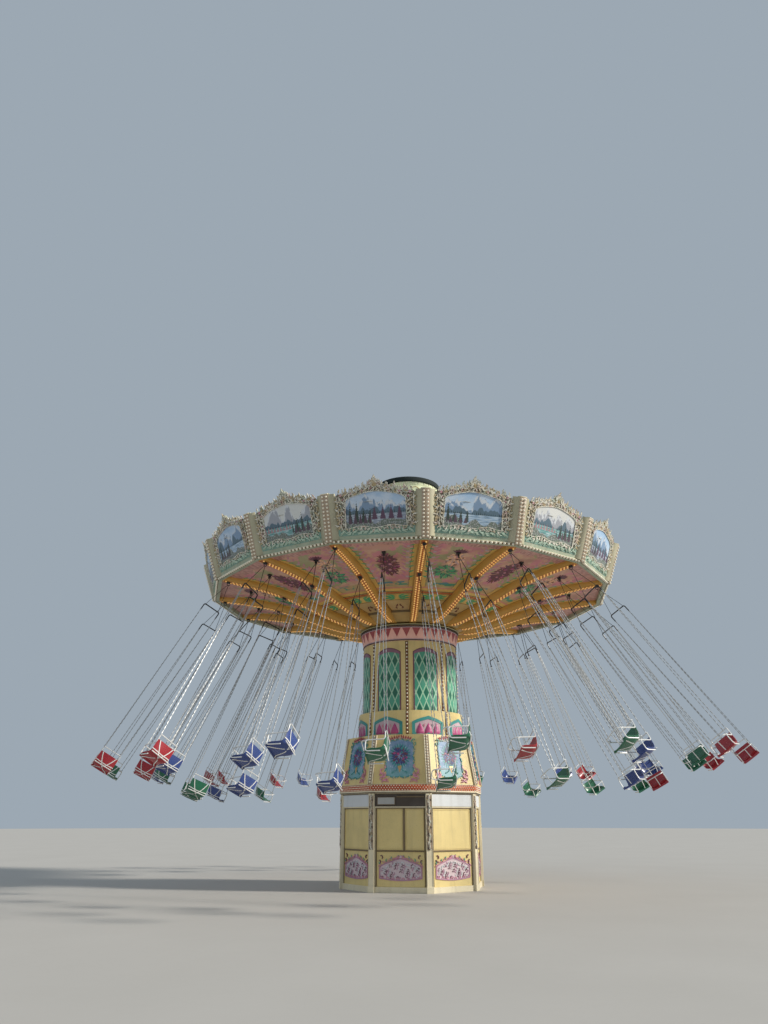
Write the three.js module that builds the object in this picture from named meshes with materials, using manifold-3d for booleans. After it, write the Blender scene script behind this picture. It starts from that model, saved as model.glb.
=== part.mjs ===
// Chair swing ride: an octagonal base housing, a turning and rising centre column,
// and a sixteen-sided crown with forty-eight chairs, shown raised and in flight.
// Millimetres, +Z up, origin on the column's axis at ground level.
// An azimuth is counted from -Y towards +X, so that the base's front face is at azimuth 0.

import * as THREE from 'three';
import { mergeVertices } from 'three/addons/utils/BufferGeometryUtils.js';
import Module from 'manifold-3d';

const wasm = await Module();
wasm.setup();

// Fit between pieces that touch
const GAP = 0.3;
// Flat sides of each round piece
const ROUND_SIDES = 24;

// Base housing
const BASE_SIDES = 8;
const BASE_RADIUS = 2040;
const WALL_BOTTOM = 140;
const WALL_TOP = 2070;
const BASE_TOP = 2430;
const POST_WIDTH = 170;
const POST_DEPTH = 110;
const POST_PROUD = 15;
const WALL_THICKNESS = 40;
const WALL_INSET = 30;
const FLOOR_RADIUS = 1900;
const FLOOR_THICKNESS = 120;
const BOSS_RADIUS = 1000;
const BOSS_TOP = 500;
const CORNICE_RADIUS = 2110;
const CORNICE_TOP = 2670;
const CORNICE_DEPTH = 300;
const CORNICE_CHAMFER = 50;
const CORNICE_FOOT = 60;

// Sloping skirt on the base
const SKIRT_BOTTOM_RADIUS = 2130;
const SKIRT_TOP_RADIUS = 1895;
const SKIRT_TOP = 3980;
const SKIRT_THICKNESS = 50;
const SKIRT_MOUTH_RADIUS = 1710;

// Turning column
const TURNTABLE_RADIUS = 1600;
const TURNTABLE_TOP = 620;
const GUIDE_RADIUS = 620;
const GUIDE_BORE = 510;
const GUIDE_TOP = 4400;
const GUIDE_BEARING_LENGTH = 400;
const GUIDE_BEARING_GAP = 0.4;
const LOWER_DRUM_RADIUS = 1550;
const LOWER_DRUM_TOP = 4670;
const DRUM_THICKNESS = 40;

// Rising tower
const MAST_RADIUS = 475;
const MAST_BOTTOM = 2620;
const MAST_TOP = 6980;
const FLANGE_RADIUS = 1370;
const FLANGE_BOTTOM = 6550;
const FLANGE_TOP = 6650;
const UPPER_DRUM_RADIUS = 1425;
const UPPER_DRUM_BOTTOM = 4350;
const UPPER_DRUM_TOP = 6690;
const COLLAR_BOTTOM_RADIUS = 1435;
const COLLAR_TOP_RADIUS = 1515;
const COLLAR_TOP = 7120;
const COLLAR_FOOT_RADIUS = 1300;

// Crown
const CROWN_SIDES = 16;
const CROWN_AZIMUTH = 13.4;
const HUB_RADIUS = 1150;
const HUB_NECK_RADIUS = 600;
const HUB_NECK_CLEARANCE = 20;
const HUB_FLOOR = 7200;
const HUB_SHOULDER = 7740;
const SPINDLE_RADIUS = 300;
const SPINDLE_HEAD_RADIUS = 700;
const SPINDLE_HEAD_THICKNESS = 60;
const ARM_WIDTH = 200;
const ARM_UNDERSIDE = [[1150, 7220], [1850, 7220], [3500, 7700], [4150, 7910], [5000, 8080], [6020, 8210]];
const ARM_TOPSIDE = [[1150, 7500], [1850, 7560], [3500, 8020], [4150, 8210], [5000, 8360], [6020, 8440]];
const CEILING_THICKNESS = 30;
const PURLIN_RADIUS = 5100;
const PURLIN_WIDTH = 120;
const PURLIN_BOTTOM = 8250;
const PURLIN_TOP = 8355;

// Rounding boards, roof and cupola
const RIM_RADIUS = 6140;
const RIM_BOTTOM = 8210;
const RIM_BEAM_TOP = 8440;
const BOARD_TOP_RADIUS = 6550;
const BOARD_TOP = 9430;
const BOARD_THICKNESS = 60;
const BOARD_SHOULDER = 120;
const CREST_HEIGHT = 290;
const CREST_HALF_WIDTH = 420;
const CREST_BEND = 170;
const SHOULDER_BEND = 770;
const PILASTER_WIDTH = 240;
const PILASTER_DEPTH = 80;
const PILASTER_PROUD = 25;
const PILASTER_TOP = 9390;
const ROOF_EAVE = 9100;
const ROOF_TOP = 11300;
const ROOF_THICKNESS = 40;
const CUPOLA_RADIUS = 980;
const CUPOLA_TOP = 12015;
const CUPOLA_THICKNESS = 60;
const LID_RADIUS = 1080;
const LID_THICKNESS = 220;
const LID_EDGE = 150;
const LID_FLAT_RADIUS = 760;

// Swings
const HANG_OUTER_RADIUS = 5850;
const HANG_INNER_RADIUS = 4150;
const LUG_DROP = 80;
const LUG_LENGTH = 50;
const LUG_WIDTH = 60;
const LUG_BELOW_PIN = 20;
const LUG_ROOT = 30;
const SWING_LENGTH = 5900;
const OUTER_SWING_OUT = 32.5;
const MIDDLE_SWING_OUT = 29.5;
const INNER_SWING_OUT = 25.5;
const SWING_OUT_SPREAD = 3.2;
const SWING_OUT_AZIMUTH = 28;
const SWING_LEAN_BACK = 3;
const SPREADER_DROP = 870;
const SPREADER_WIDTH = 520;
const SPREADER_THICKNESS = 30;
const CHAIN_INSET = 20;
const CHAIN_SPLIT = 4;
const FRONT_CHAIN_SETBACK = 60;
const BACK_CHAIN_DROP = 20;
const ROD_RADIUS = 9;
const CHAIN_RADIUS = 9;
const SEAT_WIDTH = 480;
const SEAT_DEPTH = 420;
const SEAT_THICKNESS = 50;
const BACK_HEIGHT = 420;
const ARMREST_HEIGHT = 230;
const TUBE = 26;

const COLOURS = {
  cream: { color: 0xe9dfc0, roughness: 0.55, metalness: 0 },
  yellow: { color: 0xe2c66a, roughness: 0.6, metalness: 0 },
  steel: { color: 0x6f7478, roughness: 0.5, metalness: 0.8 },
  gold: { color: 0xd19a35, roughness: 0.6, metalness: 0.1 },
  pink: { color: 0xcf8f86, roughness: 0.6, metalness: 0 },
  sage: { color: 0xb9c6a4, roughness: 0.6, metalness: 0 },
  canvas: { color: 0xc8c2a8, roughness: 0.8, metalness: 0 },
  lid: { color: 0x22322b, roughness: 0.5, metalness: 0.2 },
};

const radians = THREE.MathUtils.degToRad;
const ride = new THREE.Group();

function place(name, geometry, colour, azimuth = 90) {
  const mesh = new THREE.Mesh(geometry, new THREE.MeshStandardMaterial(COLOURS[colour]));
  mesh.name = name;
  mesh.rotation.z = radians(azimuth - 90);
  ride.add(mesh);
  return mesh;
}

// A closed solid from a geometry, with its shared corners merged and its flat slivers left out.
function solid(geometry) {
  const bare = geometry.index ? geometry.toNonIndexed() : geometry.clone();
  bare.deleteAttribute('normal');
  bare.deleteAttribute('uv');
  const merged = mergeVertices(bare, 1e-3);
  const corners = merged.index.array;
  const kept = [];
  for (let i = 0; i < corners.length; i += 3) {
    const [a, b, c] = [corners[i], corners[i + 1], corners[i + 2]];
    if (a !== b && b !== c && c !== a) {
      kept.push(a, b, c);
    }
  }
  return new wasm.Manifold(new wasm.Mesh({
    numProp: 3,
    vertProperties: new Float32Array(merged.attributes.position.array),
    triVerts: new Uint32Array(kept),
  }));
}

function shape3d(manifold) {
  const mesh = manifold.getMesh();
  const geometry = new THREE.BufferGeometry();
  geometry.setAttribute('position', new THREE.BufferAttribute(new Float32Array(mesh.vertProperties), 3));
  geometry.setIndex(new THREE.BufferAttribute(new Uint32Array(mesh.triVerts), 1));
  geometry.computeVertexNormals();
  return geometry;
}

function join(geometries) {
  return geometries.map(solid).reduce((whole, piece) => whole.add(piece));
}

function box(x0, x1, y0, y1, z0, z1) {
  const geometry = new THREE.BoxGeometry(x1 - x0, y1 - y0, z1 - z0);
  return geometry.translate((x0 + x1) / 2, (y0 + y1) / 2, (z0 + z1) / 2);
}

// A ring or disc with flat sides, from a closed [radius, height] profile at its corners.
// Its first corner lies on local +X.
function turned(profile, sides) {
  const points = profile.map(([r, z]) => new THREE.Vector2(r, z));
  const onAxis = points[0].x === 0 && points[points.length - 1].x === 0;
  if (!onAxis) {
    points.push(points[0].clone());
  }
  const geometry = new THREE.LatheGeometry(points, sides);
  geometry.rotateX(Math.PI / 2);
  geometry.rotateZ(-Math.PI / 2);
  return geometry;
}

// An outline in the X and Z directions, carried across Y between two planes.
function extrudedAcross(outline, y0, y1) {
  const shape = new THREE.Shape(outline.map(([x, z]) => new THREE.Vector2(x, z)));
  const geometry = new THREE.ExtrudeGeometry(shape, { depth: y1 - y0, bevelEnabled: false });
  return geometry.rotateX(Math.PI / 2).translate(0, y1, 0);
}

function extrudedUp(outline, z0, z1) {
  const shape = new THREE.Shape(outline.map(([x, y]) => new THREE.Vector2(x, y)));
  const geometry = new THREE.ExtrudeGeometry(shape, { depth: z1 - z0, bevelEnabled: false });
  return geometry.translate(0, 0, z0);
}

// A thin bar with three sides between two points.
function bar(from, to, radius) {
  const start = new THREE.Vector3(...from);
  const end = new THREE.Vector3(...to);
  const along = end.clone().sub(start);
  const geometry = new THREE.CylinderGeometry(radius, radius, along.length(), 3);
  const lengthwise = new THREE.Vector3(0, 1, 0);
  const turn = new THREE.Quaternion().setFromUnitVectors(lengthwise, along.clone().normalize());
  const middle = start.add(end).multiplyScalar(0.5);
  return geometry.applyQuaternion(turn).translate(middle.x, middle.y, middle.z);
}

const BASE_HALF_ANGLE = 180 / BASE_SIDES;
const BASE_FLAT = Math.cos(radians(BASE_HALF_ANGLE));
const BASE_CORNER_AZIMUTH = BASE_HALF_ANGLE;

function addBase() {
  const floor = join([
    turned([[0, 0], [FLOOR_RADIUS, 0], [FLOOR_RADIUS, FLOOR_THICKNESS], [0, FLOOR_THICKNESS]], BASE_SIDES),
    turned([[0, FLOOR_THICKNESS / 2], [BOSS_RADIUS, FLOOR_THICKNESS / 2], [BOSS_RADIUS, BOSS_TOP],
      [0, BOSS_TOP]], ROUND_SIDES),
  ]);
  place('base_floor', shape3d(floor), 'steel', BASE_CORNER_AZIMUTH);

  const inner = FLOOR_RADIUS + GAP / BASE_FLAT;
  const ring = (z0, z1) => turned([
    [inner, z0], [BASE_RADIUS, z0], [BASE_RADIUS, z1], [inner, z1],
  ], BASE_SIDES);
  const frame = [ring(0, WALL_BOTTOM), ring(WALL_TOP, BASE_TOP)];
  for (let corner = 0; corner < BASE_SIDES; corner += 1) {
    const post = box(
      BASE_RADIUS - POST_DEPTH, BASE_RADIUS + POST_PROUD, -POST_WIDTH / 2, POST_WIDTH / 2, 0, BASE_TOP,
    );
    frame.push(post.rotateZ(radians(corner * 2 * BASE_HALF_ANGLE)));
  }
  place('base_frame', shape3d(join(frame)), 'cream', BASE_CORNER_AZIMUTH);

  const wallFace = BASE_RADIUS * BASE_FLAT - WALL_INSET;
  const cornerY = (wallFace - WALL_THICKNESS) * Math.tan(radians(BASE_HALF_ANGLE));
  const wallHalf = cornerY - (POST_WIDTH / 2 + GAP) / BASE_FLAT;
  for (let side = 0; side < BASE_SIDES; side += 1) {
    const wall = box(
      wallFace - WALL_THICKNESS, wallFace, -wallHalf, wallHalf, WALL_BOTTOM + GAP, WALL_TOP - GAP,
    );
    place(`wall_panel_${side + 1}`, wall, 'yellow', side * 2 * BASE_HALF_ANGLE);
  }

  const corniceInner = CORNICE_RADIUS - CORNICE_DEPTH;
  const cornice = turned([
    [corniceInner, BASE_TOP + GAP],
    [CORNICE_RADIUS - CORNICE_CHAMFER, BASE_TOP + GAP],
    [CORNICE_RADIUS, BASE_TOP + CORNICE_FOOT],
    [CORNICE_RADIUS, CORNICE_TOP],
    [corniceInner, CORNICE_TOP],
  ], BASE_SIDES);
  place('base_cornice', cornice, 'cream', BASE_CORNER_AZIMUTH);

  const skirtFoot = CORNICE_TOP + GAP;
  const skirt = turned([
    [SKIRT_BOTTOM_RADIUS - SKIRT_THICKNESS, skirtFoot],
    [SKIRT_BOTTOM_RADIUS, skirtFoot],
    [SKIRT_TOP_RADIUS, SKIRT_TOP],
    [SKIRT_MOUTH_RADIUS, SKIRT_TOP],
    [SKIRT_MOUTH_RADIUS, SKIRT_TOP - SKIRT_THICKNESS],
    [SKIRT_TOP_RADIUS - SKIRT_THICKNESS, SKIRT_TOP - SKIRT_THICKNESS],
  ], BASE_SIDES);
  place('skirt', skirt, 'yellow', BASE_CORNER_AZIMUTH);
}

function addColumn() {
  const bearing = MAST_RADIUS + GUIDE_BEARING_GAP;
  const turntable = turned([
    [0, BOSS_TOP + GAP], [TURNTABLE_RADIUS, BOSS_TOP + GAP], [TURNTABLE_RADIUS, TURNTABLE_TOP],
    [GUIDE_RADIUS, TURNTABLE_TOP], [GUIDE_RADIUS, GUIDE_TOP], [bearing, GUIDE_TOP],
    [bearing, GUIDE_TOP - GUIDE_BEARING_LENGTH], [GUIDE_BORE, GUIDE_TOP - GUIDE_BEARING_LENGTH],
    [GUIDE_BORE, TURNTABLE_TOP], [0, TURNTABLE_TOP],
  ], ROUND_SIDES);
  place('turntable', turntable, 'steel');
  const inner = LOWER_DRUM_RADIUS - DRUM_THICKNESS;
  const drum = turned([
    [inner, TURNTABLE_TOP + GAP], [LOWER_DRUM_RADIUS, TURNTABLE_TOP + GAP],
    [LOWER_DRUM_RADIUS, LOWER_DRUM_TOP], [inner, LOWER_DRUM_TOP],
  ], ROUND_SIDES);
  place('lower_drum', drum, 'yellow');
}

function addTower() {
  const mast = turned([
    [0, MAST_BOTTOM], [MAST_RADIUS, MAST_BOTTOM],
    [MAST_RADIUS, FLANGE_BOTTOM], [FLANGE_RADIUS, FLANGE_BOTTOM],
    [FLANGE_RADIUS, FLANGE_TOP], [MAST_RADIUS, FLANGE_TOP],
    [MAST_RADIUS, MAST_TOP], [0, MAST_TOP],
  ], ROUND_SIDES);
  place('mast', mast, 'steel');

  const inner = UPPER_DRUM_RADIUS - DRUM_THICKNESS;
  const plateBottom = FLANGE_TOP + GAP;
  const plateBore = HUB_NECK_RADIUS + HUB_NECK_CLEARANCE;
  const drum = turned([
    [inner, UPPER_DRUM_BOTTOM], [UPPER_DRUM_RADIUS, UPPER_DRUM_BOTTOM], [UPPER_DRUM_RADIUS, UPPER_DRUM_TOP],
    [plateBore, UPPER_DRUM_TOP], [plateBore, plateBottom], [inner, plateBottom],
  ], ROUND_SIDES);
  place('upper_drum', drum, 'yellow');

  const foot = UPPER_DRUM_TOP + GAP;
  const collar = turned([
    [COLLAR_FOOT_RADIUS, foot],
    [COLLAR_BOTTOM_RADIUS, foot],
    [COLLAR_TOP_RADIUS, COLLAR_TOP],
    [COLLAR_TOP_RADIUS - DRUM_THICKNESS, COLLAR_TOP],
    [COLLAR_BOTTOM_RADIUS - DRUM_THICKNESS, foot + DRUM_THICKNESS],
    [COLLAR_FOOT_RADIUS, foot + DRUM_THICKNESS],
  ], ROUND_SIDES);
  place('collar', collar, 'pink');
}

const CROWN_STEP = 360 / CROWN_SIDES;
const CROWN_FLAT = Math.cos(radians(CROWN_STEP / 2));
const BOARD_LEAN = Math.atan2((BOARD_TOP_RADIUS - RIM_RADIUS) * CROWN_FLAT, BOARD_TOP - RIM_BOTTOM);

// One swing hanging straight down from the origin, its chair facing -Y.
function swingPieces() {
  const halfSpread = SPREADER_WIDTH / 2;
  const halfBar = SPREADER_THICKNESS / 2;
  const halfSeat = SEAT_WIDTH / 2;
  const seatTop = -SWING_LENGTH;
  const front = -SEAT_DEPTH / 2;
  const rear = SEAT_DEPTH / 2;
  const armrest = seatTop + ARMREST_HEIGHT;
  const backTop = seatTop + BACK_HEIGHT;
  const seatAndBack = new THREE.Shape([
    [front, seatTop - SEAT_THICKNESS], [rear, seatTop - SEAT_THICKNESS], [rear, backTop],
    [rear - SEAT_THICKNESS, backTop], [rear - SEAT_THICKNESS, seatTop], [front, seatTop],
  ].map(([y, z]) => new THREE.Vector2(y, z)));
  const chair = new THREE.ExtrudeGeometry(seatAndBack, { depth: SEAT_WIDTH, bevelEnabled: false });
  chair.applyMatrix4(new THREE.Matrix4().makeBasis(
    new THREE.Vector3(0, 1, 0), new THREE.Vector3(0, 0, 1), new THREE.Vector3(1, 0, 0),
  )).translate(-halfSeat, 0, 0);
  const insideBack = rear - SEAT_THICKNESS / 2;
  const rail = extrudedUp([
    [-halfSeat, insideBack], [-halfSeat, front], [halfSeat, front], [halfSeat, insideBack],
    [halfSeat - TUBE, insideBack], [halfSeat - TUBE, front + TUBE],
    [-halfSeat + TUBE, front + TUBE], [-halfSeat + TUBE, insideBack],
  ], armrest - TUBE, armrest);
  const pieces = [
    box(-halfSpread, halfSpread, -halfBar, halfBar, -SPREADER_DROP - halfBar, -SPREADER_DROP + halfBar),
    chair,
    rail,
  ];
  for (const side of [-1, 1]) {
    const hangX = side * (halfSpread - CHAIN_INSET);
    const chairX = side * (halfSeat - TUBE / 2);
    const toArmrest = [chairX, front + FRONT_CHAIN_SETBACK, armrest - TUBE / 2];
    const toBack = [chairX, insideBack, backTop - BACK_CHAIN_DROP];
    pieces.push(bar([0, 0, 0], [hangX, 0, -SPREADER_DROP], ROD_RADIUS));
    pieces.push(bar([hangX, -CHAIN_SPLIT, -SPREADER_DROP], toArmrest, CHAIN_RADIUS));
    pieces.push(bar([hangX, CHAIN_SPLIT, -SPREADER_DROP], toBack, CHAIN_RADIUS));
  }
  return pieces;
}

// The lug under the crown and the swing that flies out from it, at one radius and turn from the arm.
// The swings fly a little higher on one side of the ride than on the other, and lean back from their flight.
function swingAt(radius, underside, turn, armAzimuth, meanOut) {
  const pin = underside - LUG_DROP;
  const lug = box(
    radius - LUG_LENGTH / 2, radius + LUG_LENGTH / 2, -LUG_WIDTH / 2, LUG_WIDTH / 2,
    pin - LUG_BELOW_PIN, underside + LUG_ROOT,
  );
  const higher = SWING_OUT_SPREAD * Math.sin(radians(armAzimuth + turn - SWING_OUT_AZIMUTH));
  const out = radians(meanOut + higher);
  const back = radians(SWING_LEAN_BACK);
  const swing = join(swingPieces().map(
    (piece) => piece.rotateX(back).rotateY(-out).translate(radius, 0, pin),
  ));
  return swing.add(solid(lug)).rotate([0, 0, turn]);
}

// The purlin runs from one arm to the near side of the next, as a straight chord.
function purlin() {
  const half = PURLIN_WIDTH / 2;
  const offset = ARM_WIDTH / 2 + GAP;
  const step = radians(CROWN_STEP);
  const atNextArm = (radius) => [
    radius * Math.cos(step) + offset * Math.sin(step),
    radius * Math.sin(step) - offset * Math.cos(step),
  ];
  return extrudedUp([
    [PURLIN_RADIUS - half, 0], [PURLIN_RADIUS + half, 0],
    atNextArm(PURLIN_RADIUS + half), atNextArm(PURLIN_RADIUS - half),
  ], PURLIN_BOTTOM, PURLIN_TOP);
}

function heightOn(line, radius) {
  const next = line.findIndex(([r]) => r >= radius);
  const [r0, z0] = line[next - 1];
  const [r1, z1] = line[next];
  return z0 + (z1 - z0) * (radius - r0) / (r1 - r0);
}

function addSwingArms() {
  const outline = [...ARM_UNDERSIDE, ...ARM_TOPSIDE.toReversed()];
  outline[0] = [HUB_RADIUS + GAP, outline[0][1]];
  outline[outline.length - 1] = [HUB_RADIUS + GAP, outline[outline.length - 1][1]];
  for (let sector = 0; sector < CROWN_SIDES; sector += 1) {
    const azimuth = CROWN_AZIMUTH + sector * CROWN_STEP;
    const onArm = (radius, meanOut) => swingAt(
      radius, heightOn(ARM_UNDERSIDE, radius), 0, azimuth, meanOut,
    );
    const arm = join([extrudedAcross(outline, -ARM_WIDTH / 2, ARM_WIDTH / 2), purlin()])
      .add(onArm(HANG_OUTER_RADIUS, OUTER_SWING_OUT))
      .add(onArm(HANG_INNER_RADIUS, INNER_SWING_OUT))
      .add(swingAt(PURLIN_RADIUS * CROWN_FLAT, PURLIN_BOTTOM, CROWN_STEP / 2, azimuth, MIDDLE_SWING_OUT));
    place(`swing_arm_${String(sector + 1).padStart(2, '0')}`, shape3d(arm), 'gold', azimuth);
  }
}

// The radius of the boards' outer face at a corner, at one height.
function boardRadiusAt(height) {
  const share = (height - RIM_BOTTOM) / (BOARD_TOP - RIM_BOTTOM);
  return RIM_RADIUS + share * (BOARD_TOP_RADIUS - RIM_RADIUS);
}

// One rounding board in its own plane, leaned outwards, with a crest over its middle.
function board() {
  const slant = (BOARD_TOP - RIM_BOTTOM) / Math.cos(BOARD_LEAN);
  const halfBottom = RIM_RADIUS * Math.sin(radians(CROWN_STEP / 2));
  const halfTop = BOARD_TOP_RADIUS * Math.sin(radians(CROWN_STEP / 2));
  const crestSlant = CREST_HEIGHT / Math.cos(BOARD_LEAN);
  const shape = new THREE.Shape();
  shape.moveTo(-halfBottom, 0);
  shape.lineTo(halfBottom, 0);
  shape.lineTo(halfTop, slant - BOARD_SHOULDER);
  shape.quadraticCurveTo(SHOULDER_BEND, slant - BOARD_SHOULDER, CREST_HALF_WIDTH, slant);
  shape.quadraticCurveTo(CREST_BEND, slant, 0, slant + crestSlant);
  shape.quadraticCurveTo(-CREST_BEND, slant, -CREST_HALF_WIDTH, slant);
  shape.quadraticCurveTo(-SHOULDER_BEND, slant - BOARD_SHOULDER, -halfTop, slant - BOARD_SHOULDER);
  const geometry = new THREE.ExtrudeGeometry(shape, {
    depth: BOARD_THICKNESS, bevelEnabled: false, curveSegments: 2,
  });
  geometry.applyMatrix4(new THREE.Matrix4().makeBasis(
    new THREE.Vector3(0, 1, 0), new THREE.Vector3(0, 0, 1), new THREE.Vector3(1, 0, 0),
  ));
  geometry.translate(-BOARD_THICKNESS, 0, 0).rotateY(BOARD_LEAN);
  return geometry.translate(RIM_RADIUS * CROWN_FLAT, 0, RIM_BOTTOM);
}

// A corner pilaster that leans with the boards beside it.
function pilaster() {
  const foot = RIM_RADIUS + PILASTER_PROUD;
  const head = boardRadiusAt(PILASTER_TOP) + PILASTER_PROUD;
  return extrudedAcross([
    [foot - PILASTER_DEPTH, RIM_BOTTOM], [foot, RIM_BOTTOM],
    [head, PILASTER_TOP], [head - PILASTER_DEPTH, PILASTER_TOP],
  ], -PILASTER_WIDTH / 2, PILASTER_WIDTH / 2);
}

function addRoundingBoards() {
  const quarterSides = CROWN_SIDES / 4;
  const armTip = ARM_UNDERSIDE[ARM_UNDERSIDE.length - 1][0];
  const beamInner = armTip + ARM_WIDTH / 2 * Math.tan(radians(CROWN_STEP / 2)) + GAP / CROWN_FLAT;
  const beam = turned([
    [beamInner, RIM_BOTTOM], [RIM_RADIUS, RIM_BOTTOM],
    [RIM_RADIUS, RIM_BEAM_TOP], [beamInner, RIM_BEAM_TOP],
  ], CROWN_SIDES);
  const reach = BOARD_TOP_RADIUS * 2;
  const halfQuarter = CROWN_STEP * quarterSides / 2;
  const wedgeEdge = reach * Math.tan(radians(halfQuarter));
  const wedge = extrudedUp([[GAP, 0], [reach, -wedgeEdge + GAP], [reach, wedgeEdge - GAP]], 0, CUPOLA_TOP);
  for (let quarter = 0; quarter < 4; quarter += 1) {
    const pieces = [beam.clone()];
    for (let side = 0; side < quarterSides; side += 1) {
      const middle = radians((side - (quarterSides - 1) / 2) * CROWN_STEP);
      pieces.push(board().rotateZ(middle));
    }
    for (let corner = 0; corner <= quarterSides; corner += 1) {
      pieces.push(pilaster().rotateZ(radians((corner - quarterSides / 2) * CROWN_STEP)));
    }
    const quarterSolid = join(pieces).intersect(solid(wedge));
    const azimuth = CROWN_AZIMUTH + (quarter * quarterSides + quarterSides / 2) * CROWN_STEP;
    place(`rounding_boards_${quarter + 1}`, shape3d(quarterSolid), 'sage', azimuth);
  }
}

function addCrown() {
  const spindleTop = ROOF_TOP - GAP;
  const hubCorner = HUB_RADIUS / CROWN_FLAT;
  const headFoot = spindleTop - SPINDLE_HEAD_THICKNESS;
  const hub = turned([
    [0, MAST_TOP + GAP], [HUB_NECK_RADIUS, MAST_TOP + GAP],
    [HUB_NECK_RADIUS, HUB_FLOOR], [hubCorner, HUB_FLOOR],
    [hubCorner, HUB_SHOULDER], [SPINDLE_RADIUS, HUB_SHOULDER],
    [SPINDLE_RADIUS, headFoot], [SPINDLE_HEAD_RADIUS, headFoot],
    [SPINDLE_HEAD_RADIUS, spindleTop], [0, spindleTop],
  ], CROWN_SIDES);
  place('crown_hub', hub, 'steel', CROWN_AZIMUTH + CROWN_STEP / 2);

  const innerEdge = hubCorner / CROWN_FLAT + GAP;
  const under = ARM_TOPSIDE.map(([r, z]) => [r, z + GAP]);
  under[0] = [innerEdge, heightOn(ARM_TOPSIDE, innerEdge) + GAP];
  const over = under.map(([r, z]) => [r, z + CEILING_THICKNESS]).toReversed();
  const ceiling = turned([...under, ...over], CROWN_SIDES);
  place('ceiling', ceiling, 'gold', CROWN_AZIMUTH);

  addSwingArms();
  addRoundingBoards();

  const inside = BOARD_THICKNESS / Math.cos(BOARD_LEAN) / CROWN_FLAT + GAP;
  const eaveRadius = boardRadiusAt(ROOF_EAVE) - inside;
  const eaveTopRadius = boardRadiusAt(ROOF_EAVE + ROOF_THICKNESS) - inside;
  const roof = turned([
    [SPINDLE_RADIUS, ROOF_TOP], [CUPOLA_RADIUS, ROOF_TOP], [eaveRadius, ROOF_EAVE],
    [eaveTopRadius, ROOF_EAVE + ROOF_THICKNESS], [CUPOLA_RADIUS, ROOF_TOP + ROOF_THICKNESS],
    [SPINDLE_RADIUS, ROOF_TOP + ROOF_THICKNESS],
  ], CROWN_SIDES);
  place('roof', roof, 'canvas', CROWN_AZIMUTH);

  const drumFoot = ROOF_TOP + ROOF_THICKNESS + GAP;
  const drum = turned([
    [CUPOLA_RADIUS - CUPOLA_THICKNESS, drumFoot], [CUPOLA_RADIUS, drumFoot], [CUPOLA_RADIUS, CUPOLA_TOP],
    [CUPOLA_RADIUS - CUPOLA_THICKNESS, CUPOLA_TOP],
  ], CROWN_SIDES);
  place('cupola_drum', drum, 'cream', CROWN_AZIMUTH);
  const lidFoot = CUPOLA_TOP + GAP;
  const lid = turned([
    [0, lidFoot], [LID_RADIUS, lidFoot], [LID_RADIUS, lidFoot + LID_EDGE],
    [LID_FLAT_RADIUS, lidFoot + LID_THICKNESS], [0, lidFoot + LID_THICKNESS],
  ], ROUND_SIDES);
  place('cupola_lid', lid, 'lid');
}

addBase();
addColumn();
addTower();
addCrown();

export default ride;
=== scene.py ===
"""Dresses the chair swing ride: painted panels, carvings, lamps, sweeps, swings, roof and stage."""

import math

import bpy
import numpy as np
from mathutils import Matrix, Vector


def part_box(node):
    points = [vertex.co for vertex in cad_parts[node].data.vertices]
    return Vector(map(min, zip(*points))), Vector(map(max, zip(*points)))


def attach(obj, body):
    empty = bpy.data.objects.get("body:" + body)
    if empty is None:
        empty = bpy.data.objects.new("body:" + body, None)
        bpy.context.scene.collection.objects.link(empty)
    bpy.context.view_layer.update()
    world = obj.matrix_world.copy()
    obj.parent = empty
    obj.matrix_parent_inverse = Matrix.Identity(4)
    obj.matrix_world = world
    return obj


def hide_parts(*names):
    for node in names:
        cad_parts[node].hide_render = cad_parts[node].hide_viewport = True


bl_info = {
    "name": "Chair Swing Ride",
    "version": (1, 0, 0),
    "blender": (4, 5, 0),
    "location": "View3D > Sidebar > Swing Ride",
    "description": "Panels, carvings, lamps, sweeps and swings for the chair swing ride",
    "category": "Object",
}

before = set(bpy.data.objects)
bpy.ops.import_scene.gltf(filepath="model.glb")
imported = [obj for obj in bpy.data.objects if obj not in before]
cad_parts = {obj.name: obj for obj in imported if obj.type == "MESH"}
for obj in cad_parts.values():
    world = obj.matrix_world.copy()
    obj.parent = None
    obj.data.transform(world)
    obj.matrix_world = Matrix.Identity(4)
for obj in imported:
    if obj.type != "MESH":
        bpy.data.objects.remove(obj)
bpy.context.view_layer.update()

UP = np.array([0.0, 0.0, 1.0])
CROWN_SIDES = 16
BASE_SIDES = 8
DRUM_PANELS = 8
DRUM_SIDES = 96
CROWN_STEP = 360 / CROWN_SIDES
BASE_STEP = 360 / BASE_SIDES
HALF_CROWN = math.radians(CROWN_STEP / 2)

# Distance from the axis and height along a sweep's lower and upper edge
SWEEP_UNDERSIDE = ((1.15, 7.22), (1.85, 7.22), (3.5, 7.70), (4.15, 7.91), (5.0, 8.08), (6.02, 8.21))
SWEEP_TOPSIDE = ((1.15, 7.50), (1.85, 7.56), (3.5, 8.02), (4.15, 8.21), (5.0, 8.36), (6.02, 8.44))
# The colour of each chair: outer, inner and middle on one sweep after the other
CHAIR_COLOURS = "ggrggbrbgrrgrgbbgrbgbgrbrbgbrrrgrbbgggrrgbrbbbbg"


def length_property(name, description, default):
    return bpy.props.FloatProperty(name=name, description=description, default=default, unit="LENGTH")


def angle_property(name, description, degrees):
    return bpy.props.FloatProperty(
        name=name, description=description, default=math.radians(degrees), subtype="ANGLE", unit="ROTATION")


def colour_property(name, description, default):
    return bpy.props.FloatVectorProperty(
        name=name, description=description, default=default, size=3, min=0, max=1, subtype="COLOR")


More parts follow.
